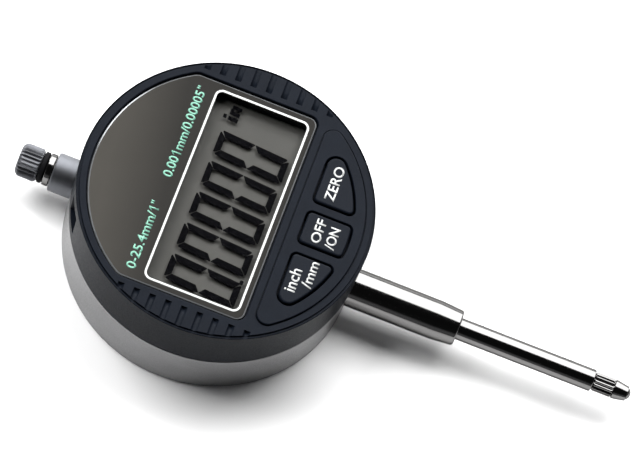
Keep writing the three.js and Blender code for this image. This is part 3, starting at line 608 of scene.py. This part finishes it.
# Angles are in degrees, and azimuth 0 is +X; the distance and the sizes are in metres.
LIGHT_DISTANCE = 1.0
LIGHTS = [
    {"name": "key", "azimuth": -12, "elevation": 58, "size": (0.65, 0.65), "power": 16.0, "gloss": False},
    {"name": "fill", "azimuth": 76, "elevation": 52, "size": (0.6, 0.6), "power": 15.0, "gloss": False},
    {"name": "softbox", "azimuth": 0, "elevation": 43, "size": (1.3, 1.35), "power": 35.0, "gloss": True},
    {"name": "strip", "azimuth": 47, "elevation": 20, "size": (0.25, 0.6), "power": 5.0, "gloss": True},
]

# Greys from straight below, at 0, to straight above, at 1, with a little more blue.
SKY = [(0.0, 0.66), (0.2, 0.42), (0.5, 0.13), (0.6, 0.26), (0.66, 0.20), (0.725, 0.02), (1.0, 0.014)]
SKY_BLUE = 1.03


def make_camera():
    """The view from above and to the display's left, with the display's right turned up the picture."""
    turn = Matrix.Rotation(CAMERA["roll"], 3, "Z")
    turn = turn @ Matrix.Rotation(CAMERA["lean"], 3, "X") @ Matrix.Rotation(CAMERA["tilt"], 3, "Y")
    back = turn.transposed()
    camera_data = bpy.data.cameras.new("camera")
    camera_data.sensor_width = CAMERA["sensor"]
    camera_data.lens = CAMERA["lens"]
    camera = bpy.data.objects.new("camera", camera_data)
    place = (Vector((0, 0, HEAD_BOTTOM)) - back @ Vector(CAMERA["aim"])) * MM
    camera.matrix_world = Matrix.Translation(place) @ back.to_4x4()
    bpy.context.scene.collection.objects.link(camera)
    bpy.context.scene.camera = camera


def make_floor():
    size, height = FLOOR["size"], FLOOR["height"]
    corners = [(-size, -size, height), (size, -size, height), (size, size, height), (-size, size, height)]
    floor = new_object("floor", corners, [(0, 1, 2, 3)])
    floor.data.materials.append(surface(
        "pale_floor", (0.86, 0.86, 0.86), 0.6, variation=0.01, spread=0.02, patch=60.0, grain=4.0,
        relief=0.002, specular=0.2))


def area_light(name, azimuth, elevation, size, power, gloss):
    """A soft light that looks at the object, and lights surfaces evenly or shows only as a reflection."""
    data = bpy.data.lights.new(name, "AREA")
    data.shape = "RECTANGLE"
    data.size, data.size_y = size
    data.energy = power
    light = bpy.data.objects.new(name, data)
    across, up = math.radians(azimuth), math.radians(elevation)
    direction = Vector((math.cos(up) * math.cos(across), math.cos(up) * math.sin(across), math.sin(up)))
    turn = direction.to_track_quat("Z", "Y").to_matrix().to_4x4()
    light.matrix_world = Matrix.Translation(direction * LIGHT_DISTANCE) @ turn
    light.visible_glossy = gloss
    light.visible_diffuse = not gloss
    bpy.context.scene.collection.objects.link(light)


def make_lights():
    for light in LIGHTS:
        area_light(**light)


def make_world():
    """A dim studio: dark above, grey round the horizon and paler below it."""
    world = bpy.data.worlds.new("studio")
    bpy.context.scene.world = world
    world.use_nodes = True
    nodes, links = world.node_tree.nodes, world.node_tree.links
    place = nodes.new("ShaderNodeTexCoord")
    split = nodes.new("ShaderNodeSeparateXYZ")
    height = nodes.new("ShaderNodeMapRange")
    height.inputs["From Min"].default_value = -1
    ramp = nodes.new("ShaderNodeValToRGB")
    elements = ramp.color_ramp.elements
    for place_up, _ in SKY[1:-1]:
        elements.new(place_up)
    for element, (_, grey) in zip(elements, SKY):
        element.color = (grey, grey, grey * SKY_BLUE, 1)
    links.new(place.outputs["Generated"], split.inputs["Vector"])
    links.new(split.outputs["Z"], height.inputs["Value"])
    links.new(height.outputs["Result"], ramp.inputs["Fac"])
    links.new(ramp.outputs["Color"], nodes["Background"].inputs["Color"])
    bpy.context.scene.view_settings.view_transform = "Standard"


# ---- The case ----

def make_case():
    bottom, deck = CASE_LOW.z, CASE["deck_top"]
    shell = turned_z("case_shell", [
        (BODY_RADIUS, bottom, CASE["foot_edge"]), (BODY_RADIUS, CASE_TOP, CASE["top_edge"]),
        (CASE["neck"], CASE_TOP), (CASE["neck"], CASE["rim_foot"]), (CASE["rim"], CASE["rim_foot"]),
        (CASE["rim"], CASE_HIGH.z),
        (CASE["rim_bore"], CASE_HIGH.z), (CASE["rim_bore"], deck), (CASE["cable_hole"], deck),
        (CASE["cable_hole"], CASE["deck_foot"]), (CASE["bore"], CASE["deck_foot"]),
        (CASE["bore"], CASE["seat_height"]), (CASE["seat"], CASE["seat_height"]),
        (CASE["seat"], bottom, CASE["seat_edge"]),
    ])
    reach = BODY_RADIUS + CLEAR
    bores = [
        turned_y("stem_bore", cylinder(TUBE["hole"], -reach, -TUBE["foot"])),
        turned_y("collar_bore", cylinder(TUBE["hole"], TUBE["foot"], reach)),
    ]
    boolean(shell, bores)
    finish_piece(shell, "case", "silver_case", ["case_ring"])
    inner, outer = WASHER_HIGH.x - WASHER_WIDTH, WASHER_HIGH.x
    washer = turned_z("joint_washer", [
        (inner, WASHER_LOW.z), (outer, WASHER_LOW.z), (outer, WASHER_HIGH.z), (inner, WASHER_HIGH.z),
    ])
    finish_piece(washer, "case", "slide_plastic", ["slide_washer"])


def screw_seat(x, y):
    head, shank = SCREW["head"] + SCREW["gap"], SCREW["shank"] + SCREW["gap"]
    top = BACK_HIGH.z + CLEAR
    return turned_z("seat", [
        (0, -CLEAR), (head, -CLEAR), (head, SCREW["sunk"]), (shank, SCREW["cone_top"]), (shank, top),
        (0, top),
    ], SMALL, x=x, y=y)


def cross_arm(x, y, turn):
    """A tapered blade, the shape that one arm pair of a cross recess leaves."""
    rings = []
    for half_length, half_width, height in CROSS_RECESS:
        ring = []
        for along, across in QUARTERS:
            corner = Matrix.Rotation(turn, 2) @ Vector((along * half_length, across * half_width))
            ring.append((x + corner.x, y + corner.y, height))
        rings.append(ring)
    return loft("blade", rings)


def make_back():
    radius, thickness = BACK_HIGH.x, BACK_HIGH.z
    cover = turned_z("back_plate", [(0, 0), (radius, 0, BACK_EDGE), (radius, thickness), (0, thickness)])
    places = [(sx * SCREW["place"], sy * SCREW["place"]) for sx, sy in QUARTERS]
    boolean(cover, [screw_seat(x, y) for x, y in places])
    finish_piece(cover, "case", "silver_case", ["back_cover"])
    for i, (x, y) in enumerate(places, start=1):
        screw = turned_z(f"cross_screw_{i}", [
            (0, SCREW["sunk"]), (SCREW["head"], SCREW["sunk"], SCREW["head_edge"]),
            (SCREW["shank"], SCREW["cone_top"]), (SCREW["shank"], SCREW["length"], SCREW["end_edge"]),
            (0, SCREW["length"]),
        ], SMALL, x=x, y=y)
        turn = math.radians(SCREW["first_turn"] + SCREW["next_turn"] * i)
        boolean(screw, [cross_arm(x, y, turn), cross_arm(x, y, turn + math.pi / 2)])
        finish_piece(screw, "case", "screw_steel", [f"back_screw_{i}"])


def make_stem():
    bore, radius, flange = TUBE["bore"], TUBE["radius"], TUBE["flange"]
    foot, step = TUBE["foot"], TUBE["step"]
    stem = turned_y("clamping_stem", [
        (bore, STEM_END, TUBE["inner_edge"]), (STEM_NOSE["radius"], STEM_END, STEM_NOSE["edge"]),
        (radius, STEM_END + STEM_NOSE["length"], STEM_NOSE["shoulder"]), (radius, -step), (flange, -step),
        (flange, -foot), (bore, -foot),
    ])
    finish_piece(stem, "case", "polished_steel", ["stem"])
    collar = turned_y("upper_collar", [
        (bore, foot), (flange, foot), (flange, step), (radius, step), (radius, COLLAR_END, COLLAR_EDGE),
        (bore, COLLAR_END, TUBE["inner_edge"]),
    ])
    finish_piece(collar, "case", "satin_steel", ["collar"])


def make_spring():
    """The return spring, drawn at rest; the real one closes up towards the collar as the spindle rises."""
    wire, start, end = SPRING["wire"], SPRING["start"], SPRING["end"]
    steps, sides = SPRING["turns"] * SPRING["steps_per_turn"], SPRING["sides"]
    rings = []
    for i in range(steps + 1):
        angle = 2 * math.pi * SPRING["turns"] * i / steps
        outward = Vector((math.cos(angle), 0, math.sin(angle)))
        centre = outward * SPRING["radius"] + Vector((0, start + (end - start) * i / steps, SPINDLE_Z))
        ring = []
        for k in range(sides):
            around = 2 * math.pi * k / sides
            ring.append(centre + outward * wire * math.cos(around) + Vector((0, wire * math.sin(around), 0)))
        rings.append(ring)
    spring = loft("spring_coil", rings)
    finish_piece(spring, "case", "spring_steel", ["return_spring"])
    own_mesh(spring)


# ---- The spindle ----

def make_spindle():
    start, end = SPINDLE_LOW.y, SPINDLE_HIGH.y
    rod = turned_y("spindle_rod", [
        (0, start), (SPINDLE_RADIUS, start, ROD_EDGE), (SPINDLE_RADIUS, STUB["foot"]),
        (STUB["radius"], STUB["foot"]), (STUB["radius"], end), (0, end),
    ])
    finish_piece(rod, "spindle", "polished_steel", ["spindle"])


def make_contact_point():
    """A fluted barrel that sits just under the end of the spindle, a cone and a ball."""
    levels = [(SPINDLE_LOW.y - POINT_GAP, SHOULDER), (BARREL_END, BARREL_FOOT), (CONE_END, CONE_FOOT)]
    point = grooved("contact_tip", levels, **FLUTING)
    finish_piece(point, "spindle", "polished_steel", ["contact_point"])
    low, high = box_mm("contact_ball")
    centre, radius = (low.y + high.y) / 2, (high.y - low.y) / 2
    steps = SMALL // 2
    rings = []
    for k in range(1, steps):
        angle = math.pi * k / steps
        rings.append(circle_about_spindle(radius * math.sin(angle), centre - radius * math.cos(angle), SMALL))
    ball = loft("contact_ball_fine", rings)
    finish_piece(ball, "spindle", "polished_steel", ["contact_ball"])


def ring_on_stub(node, slot, radius, edge):
    bore, start, end = STUB["ring_bore"], box_mm(node)[0].y, box_mm(node)[1].y
    ring = turned_y(f"{node}_fine", [(bore, start), (radius, start, edge), (radius, end, edge), (bore, end)])
    return finish_piece(ring, "spindle", slot)


def make_cap():
    stop = ring_on_stub("stop_ring", "polished_steel", **STOP_RING)
    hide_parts("stop_ring")
    bumper = ring_on_stub("bumper_ring", "black_rubber", **BUMPER_RING)
    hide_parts("bumper_ring")
    cap = grooved("knurled_cap", [(CAP_LOW.y, CAP_FOOT), (CAP_HIGH.y, CAP_CROWN)], **KNURLING)
    finish_piece(cap, "spindle", "knurled_steel", ["lifting_cap"])


# ---- The head ----

def flute_cutter(side, y):
    """A scoop that is steep beside the lens and runs out shallow over the rim."""
    half, steps = GRIP["width"] / 2, GRIP["steps"]
    rows = [(GRIP["inner"] + distance, depth) for distance, depth in GRIP_SCOOP]
    rows.append((BODY_RADIUS + CLEAR, GRIP["rim_depth"]))
    rings = []
    for x, depth in rows:
        ring = [(side * x, y - half, FACE + CLEAR), (side * x, y + half, FACE + CLEAR)]
        for k in range(steps + 1):
            v = 1 - 2 * k / steps
            ring.append((side * x, y + v * half, FACE - depth * (1 - v * v)))
        rings.append(ring)
    return loft("flute", rings)


def grip_flutes():
    places = [(i - (GRIP["count"] - 1) / 2) * GRIP["pitch"] for i in range(GRIP["count"])]
    return [flute_cutter(side, y) for side in (-1, 1) for y in places]


def panel_outline(inset):
    return band_outline(inset, **PANEL)


def panel_groove():
    """A narrow groove in the face, all round the foot of the raised panel."""
    width, floor, top = PANEL_GROOVE["width"], FACE - PANEL_GROOVE["depth"], FACE + CLEAR
    profile = [(-width, floor), (-width, top), (0.0, top), (0.0, floor)]
    return plate("panel_groove", panel_outline, profile, closed=True)


def button_cut(span):
    def outline(inset):
        return band_outline(inset, **BUTTON_BAND, **span)

    return plate("button_cut", outline, mouth_edge(FACE_UNDERSIDE - CLEAR, PANEL_TOP, BUTTON_MOUTH))


def drawer_cut():
    half = DRAWER_HIGH.y + DRAWER_CUT["gap"]
    low = (DRAWER_CUT["start"], -half, DRAWER_LOW.z - DRAWER_CUT["gap_below"])
    high = (DRAWER_CUT["end"], half, CELL_HIGH.z + DRAWER_CUT["gap"])
    return rounded_box("drawer_cut", low, high, DRAWER_CUT["corner"])


def make_front_cover():
    groove_outer = BODY_RADIUS - RIM_GROOVE["outer"]
    groove_inner = groove_outer - RIM_GROOVE["width"]
    groove_floor = FACE - RIM_GROOVE["depth"]
    flank = RIM_GROOVE["flank"]
    cover = turned_z("head_cover", [
        (0, FACE_UNDERSIDE), (HEAD["bore"], FACE_UNDERSIDE), (HEAD["bore"], HEAD["lip_top"]),
        (HEAD["lip_bore"], HEAD["lip_top"]), (HEAD["lip_bore"], HEAD_BOTTOM),
        (BODY_RADIUS, HEAD_BOTTOM, HEAD["bottom_edge"]),
        (BODY_RADIUS, FACE - HEAD["bevel"], HEAD["bevel_edge"]),
        (groove_outer, FACE - RIM_GROOVE["outer_drop"], RIM_GROOVE["outer_edge"]),
        (groove_outer - flank, groove_floor), (groove_inner + flank, groove_floor),
        (groove_inner, FACE, RIM_GROOVE["inner_edge"]), (0, FACE),
    ])
    panel_profile = [(inset, FACE + height) for inset, height in PANEL_EDGE]
    boolean(cover, [plate("panel", panel_outline, panel_profile)], "UNION")
    cutters = [
        plate("lens_pocket", lens_outline, mouth_edge(LENS_LOW.z - LENS_SEAT_GAP, FACE, LENS_MOUTH)),
        plate("window_cut", window_outline, [(0, FACE_UNDERSIDE - CLEAR), (0, FACE)]),
    ]
    cutters += [button_cut(span) for span in BUTTON_SPANS.values()]
    cutters += [drawer_cut(), rounded_box("port_cut", PORT["low"], PORT["high"], PORT["corner"])]
    boolean(cover, cutters + grip_flutes() + [panel_groove()])
    finish_piece(cover, "head", "black_plastic", ["front_cover"])


def make_lens():
    """The smoked body round the window, with a painted sheen, the window's clear pane and the frosted edge,
    with a painted highlight.
    """
    low, top = LENS_LOW.z, LENS_HIGH.z
    body_inset = LENS_GAP + LENS_EDGE
    body = plate("lens_body", lens_outline, [(body_inset, low), (body_inset, top)])
    opening = [(WINDOW_GAP, low - CLEAR), (WINDOW_GAP, top + CLEAR)]
    boolean(body, [plate("window_cut", window_outline, opening)])
    finish_piece(body, "head", "smoked_lens", ["lens"])
    pane = plate("window_pane", window_outline, [(PANE["gap"], top - PANE["thickness"]), (PANE["gap"], top)])
    finish_piece(pane, "head", "smoked_lens", material=clear_acrylic())
    curve = [(LENS_GAP + inset, top - depth) for inset, depth in LENS_EDGE_CURVE]
    edge_profile = [(LENS_GAP, low), *curve, (curve[-1][0], low)]
    edge = plate("lens_edge", lens_outline, edge_profile, closed=True)
    finish_piece(edge, "head", "smoked_lens", material=FROSTED_EDGE_PAINTED_GLINT)


def outline_frame():
    """The white line printed round the display window."""
    half, bottom, top = WINDOW_LINE["width"] / 2, LENS_HIGH.z - WINDOW_LINE["depth"], LENS_HIGH.z + TEXT_LIFT

    def outline(inset):
        return rounded_rectangle(
            WINDOW_LINE["half_width"] - inset, WINDOW_LINE["half_height"] - inset,
            WINDOW_LINE["corner"] - inset, 0, DISPLAY_Y, LENS_CORNER_STEPS)

    profile = [(-half, bottom), (-half, top), (half, top), (half, bottom)]
    line = plate("window_line", outline, profile, closed=True)
    finish_piece(line, "head", "smoked_lens", material=PRINT_WHITE)


# The lens's texts and the buttons' words, with the box (left, bottom, right, top) that each fills.
TEXT_LOW, TEXT_HIGH, INCH_MARK_LOW = 11.45, 13.4, 12.75
LENS_TEXTS = {
    "range_label": [
        ("0-25.4mm/", (-21.1, TEXT_LOW, -8.3, TEXT_HIGH)), ("1", (-8.1, TEXT_LOW, -7.35, TEXT_HIGH)),
        ("\"", (-6.7, INCH_MARK_LOW, -5.95, TEXT_HIGH)),
    ],
    "resolution_label": [
        ("0.00", (-0.15, TEXT_LOW, 4.45, TEXT_HIGH)), ("1", (4.75, TEXT_LOW, 5.5, TEXT_HIGH)),
        ("mm/0.00005", (6.1, TEXT_LOW, 19.75, TEXT_HIGH)), ("\"", (20.1, INCH_MARK_LOW, 20.85, TEXT_HIGH)),
    ],
}
BUTTON_WORDS = [
    ("inch_label", "inch", (-13.95, -18.7, -8.95, -16.35), "inch_mm_button"),
    ("mm_label", "/mm", (-12.05, -21.35, -6.25, -19.25), "inch_mm_button"),
    ("off_label", "OFF", (-2.4, -19.85, 2.8, -17.85), "off_on_button"),
    ("on_label", "/ON", (-2.6, -22.9, 2.1, -20.85), "off_on_button"),
    ("zero_label", "ZERO", (7.15, -19.6, 14.8, -17.5), "zero_button"),
]
LENS_WEIGHT, BUTTON_WEIGHT = 0.02, 0.014

# A 1 with a flag, in a box one high.
ONE = [(0.36, 0.0), (0.36, 0.74), (0.08, 0.60), (0.08, 0.74), (0.40, 1.0), (0.56, 1.0), (0.56, 0.0)]


def glyphs(name, text, weight):
    """A flat mesh of the text, with a flagged 1, which the built-in font has not got."""
    if text == "1":
        mesh = bpy.data.meshes.new(name)
        mesh.from_pydata([(x, y, 0) for x, y in ONE], [], [tuple(range(len(ONE)))])
        return mesh
    curve = bpy.data.curves.new(name, "FONT")
    curve.body = text
    curve.offset = weight
    writing = bpy.data.objects.new(name + "_curve", curve)
    bpy.context.scene.collection.objects.link(writing)
    depsgraph = bpy.context.evaluated_depsgraph_get()
    mesh = bpy.data.meshes.new_from_object(writing.evaluated_get(depsgraph))
    bpy.data.objects.remove(writing)
    return mesh


def label(name, parts, height, body, slot, material, weight):
    """Texts fitted into boxes (left, bottom, right, top), as one thin layer of ink."""
    joined = bmesh.new()
    for text, box in parts:
        mesh = glyphs(name, text, weight)
        xs = [v.co.x for v in mesh.vertices]
        ys = [v.co.y for v in mesh.vertices]
        left, bottom, right, top = box
        for vertex in mesh.vertices:
            x = left + (vertex.co.x - min(xs)) / (max(xs) - min(xs)) * (right - left)
            y = bottom + (vertex.co.y - min(ys)) / (max(ys) - min(ys)) * (top - bottom)
            vertex.co = Vector((x, y, height)) * MM
        joined.from_mesh(mesh)
    mesh = bpy.data.meshes.new(name)
    joined.to_mesh(mesh)
    joined.free()
    obj = bpy.data.objects.new(name, mesh)
    bpy.context.scene.collection.objects.link(obj)
    thickness = obj.modifiers.new("ink", "SOLIDIFY")
    thickness.thickness = TEXT_LIFT * MM
    thickness.offset = 0
    finish_piece(obj, body, slot, material=material)


def make_labels():
    for name, parts in LENS_TEXTS.items():
        label(name, parts, LENS_HIGH.z + TEXT_LIFT, "head", "smoked_lens", PRINT_MINT, LENS_WEIGHT)
    for name, text, box, body in BUTTON_WORDS:
        label(name, [(text, box)], BUTTON_TOP - TEXT_LIFT, body, "button_plastic", PRINT_WHITE, BUTTON_WEIGHT)


# ---- The display ----

# The figures' places in x are as the camera sees them on the lens's top. They lie lower, and this moves
# them to where they are.
SIGHT_SHIFT = 1.0
INK = {"top": LCD_HIGH.z, "thickness": 0.03}
# The grey ground lies this far below the ink, which is what gives the figures their shadows.
GROUND = {"depth": 0.9, "corner": 0.3}
DIGITS = {"count": 5, "first": -21.45 + SIGHT_SHIFT, "pitch": 7.13, "width": 6.65, "bottom": -8.8,
          "top": 5.95, "slant": 1.05, "upright": 1.4, "bar": 1.3, "gap": 0.035, "nick": 0.2, "waist": 0.95}
DIGIT_CORNERS = {"bar": 0.18, "upright": 0.22, "inside": 0.1, "waist": 0.2, "nose": (0.16, 0.1)}
DECIMAL_POINT = {"half_width": 0.5, "half_height": 0.36, "corner": 0.28, "centre_x": -15.6 + SIGHT_SHIFT,
                 "centre_y": -8.5}
# The strokes of "in" as (left, bottom, right, top) from the foot of the i.
UNIT = {"left": 16.1 + SIGHT_SHIFT, "foot": 3.55, "slant": 0.07}
UNIT_STROKES = [(0.0, 0, 0.85, 2.05), (0.05, 2.4, 0.9, 3.1), (1.25, 0, 2.1, 2.05), (2.1, 1.4, 2.6, 2.05),
                (2.6, 0, 3.4, 1.9)]


def zero_segments():
    """The six lit segments of a 0, as polygons in a box with its corner at the origin."""
    width, height = DIGITS["width"] - DIGITS["slant"], DIGITS["top"] - DIGITS["bottom"]
    upright, bar, gap = DIGITS["upright"], DIGITS["bar"], DIGITS["gap"]
    middle, nick, waist = height / 2, DIGITS["nick"], DIGITS["waist"]
    round_bar, inside, nose = DIGIT_CORNERS["bar"], DIGIT_CORNERS["inside"], DIGIT_CORNERS["nose"]
    top_bar = filleted([
        (nick + gap, height, round_bar), (width - nick - gap, height, round_bar),
        (width - upright - gap, height - bar, inside), (upright + gap, height - bar, inside),
    ], closed=True, steps=3)
    left_upper = filleted([
        (0, height - nick - gap, DIGIT_CORNERS["upright"]), (upright, height - bar - gap * 2, inside),
        (upright, middle + waist + gap, DIGIT_CORNERS["waist"]), (nose[0], middle + gap),
        (0, middle + gap + nose[1]),
    ], closed=True, steps=3)
    shapes = []
    for polygon in (top_bar, left_upper):
        flipped = [(u, height - v) for u, v in polygon]
        shapes += [polygon, flipped]
        if polygon is left_upper:
            shapes += [[(width - u, v) for u, v in polygon], [(width - u, v) for u, v in flipped]]
    return shapes


def ink_shapes():
    """Every lit shape of the display: the digits, the decimal point and the unit."""
    shapes = []
    bottom, lean = DIGITS["bottom"], DIGITS["slant"] / (DIGITS["top"] - DIGITS["bottom"])
    for i in range(DIGITS["count"]):
        left = DIGITS["first"] + i * DIGITS["pitch"]
        for polygon in zero_segments():
            shapes.append([(left + u + lean * v, bottom + v) for u, v in polygon])
    shapes.append(rounded_rectangle(**DECIMAL_POINT, steps=4))
    for left, low, right, high in UNIT_STROKES:
        corners = [(left, low), (right, low), (right, high), (left, high)]
        shapes.append([(UNIT["left"] + x + UNIT["slant"] * y, UNIT["foot"] + y) for x, y in corners])
    return shapes


def make_display():
    low, high = LCD_LOW, LCD_HIGH
    top = high.z - GROUND["depth"]
    ground = rounded_box("display_ground", low, (high.x, high.y, top), GROUND["corner"])
    finish_piece(ground, "head", "liquid_crystal", ["lcd_glass"])
    vertices, faces = [], []
    for polygon in ink_shapes():
        count, base = len(polygon), len(vertices)
        vertices += [(x, y, INK["top"] - INK["thickness"]) for x, y in polygon]
        vertices += [(x, y, INK["top"]) for x, y in polygon]
        faces.append(tuple(base + i for i in range(count)))
        faces.append(tuple(base + count + i for i in range(count)))
        for i in range(count):
            j = (i + 1) % count
            faces.append((base + i, base + j, base + count + j, base + count + i))
    ink = new_object("display_figures", vertices, faces)
    finish_piece(ink, "head", "liquid_crystal", material=LCD_INK)


# ---- Buttons, drawer and port ----

def make_buttons():
    flange_width, flange_top = BUTTON_FLANGE["width"], BUTTON_FLANGE["thickness"]
    for name, span in BUTTON_SPANS.items():
        low, high = box_mm(f"button_{name}")

        def outline(inset, s=span):
            return band_outline(BUTTON_GAP + inset, **BUTTON_BAND, **s)

        flange = [(-flange_width, low.z), (-flange_width, low.z + flange_top), (0, low.z + flange_top)]
        crown = [(inset, high.z - drop) for inset, drop in BUTTON_CROWN]
        button = plate(f"{name}_button", outline, flange + crown)
        finish_piece(button, f"{name}_button", "button_plastic", [f"button_{name}"])


def make_drawer():
    half, start, front = DRAWER_HIGH.y, DRAWER_LOW.x, DRAWER_HIGH.x
    low, high, edge = DRAWER_LOW.z, DRAWER_HIGH.z, DRAWER_EDGE

    def outline(inset):
        radius = front - inset
        turn = math.asin((half - inset) / radius)
        back = [(start + inset, half - inset), (start + inset, inset - half)]
        return arc(0, 0, radius, -turn, turn, DRAWER_STEPS) + back

    tray = plate("drawer_tray", outline, [(edge, low), (0, low + edge), (0, high - edge), (edge, high)])
    centre_x = (CELL_LOW.x + CELL_HIGH.x) / 2
    seat_floor, hole_foot, top = CELL_LOW.z - CELL["seat_gap"], low - CLEAR, high + CLEAR
    seat = turned_z("seat", cylinder(CELL["seat"], seat_floor, top), MEDIUM, x=centre_x)
    hole = turned_z("hole", cylinder(CELL["hole"], hole_foot, top), MEDIUM, x=centre_x)
    nail = rounded_box(
        "nail_groove", (front - NAIL_GROOVE["depth"], -NAIL_GROOVE["half_width"], high - NAIL_GROOVE["low"]),
        (front + CLEAR, NAIL_GROOVE["half_width"], high - NAIL_GROOVE["high"]), NAIL_GROOVE["corner"])
    boolean(tray, [seat, hole, nail])
    finish_piece(tray, "drawer", "black_plastic", ["battery_drawer"])
    radius, step = (CELL_HIGH.x - CELL_LOW.x) / 2, CELL_LOW.z + CELL["step"]
    cell = turned_z("button_cell", [
        (0, CELL_LOW.z), (CELL["cap"], CELL_LOW.z, CELL["cap_edge"]), (CELL["cap_foot"], step),
        (radius, step, CELL["step_edge"]), (radius, CELL_HIGH.z, CELL["top_edge"]), (0, CELL_HIGH.z),
    ], MEDIUM, x=centre_x)
    finish_piece(cell, "drawer", "cell_steel", ["coin_cell"])


def make_port_pins():
    """Sprung contacts on the back wall of the data port."""
    for i in range(PORT_PINS["count"]):
        low = Vector(PORT_PINS["low"]) + Vector((0, 0, i * PORT_PINS["pitch"]))
        high = low + Vector(PORT_PINS["size"])
        pin = rounded_box(f"port_pin_{i + 1}", low, high, PORT_PINS["corner"])
        finish_piece(pin, "head", "contact_bronze")


make_camera()
make_floor()
make_lights()
make_world()
dress_cad_nodes()
make_case()
make_back()
make_stem()
make_spring()
make_spindle()
make_contact_point()
make_cap()
make_front_cover()
make_lens()
outline_frame()
make_display()
make_labels()
make_buttons()
make_drawer()
make_port_pins()
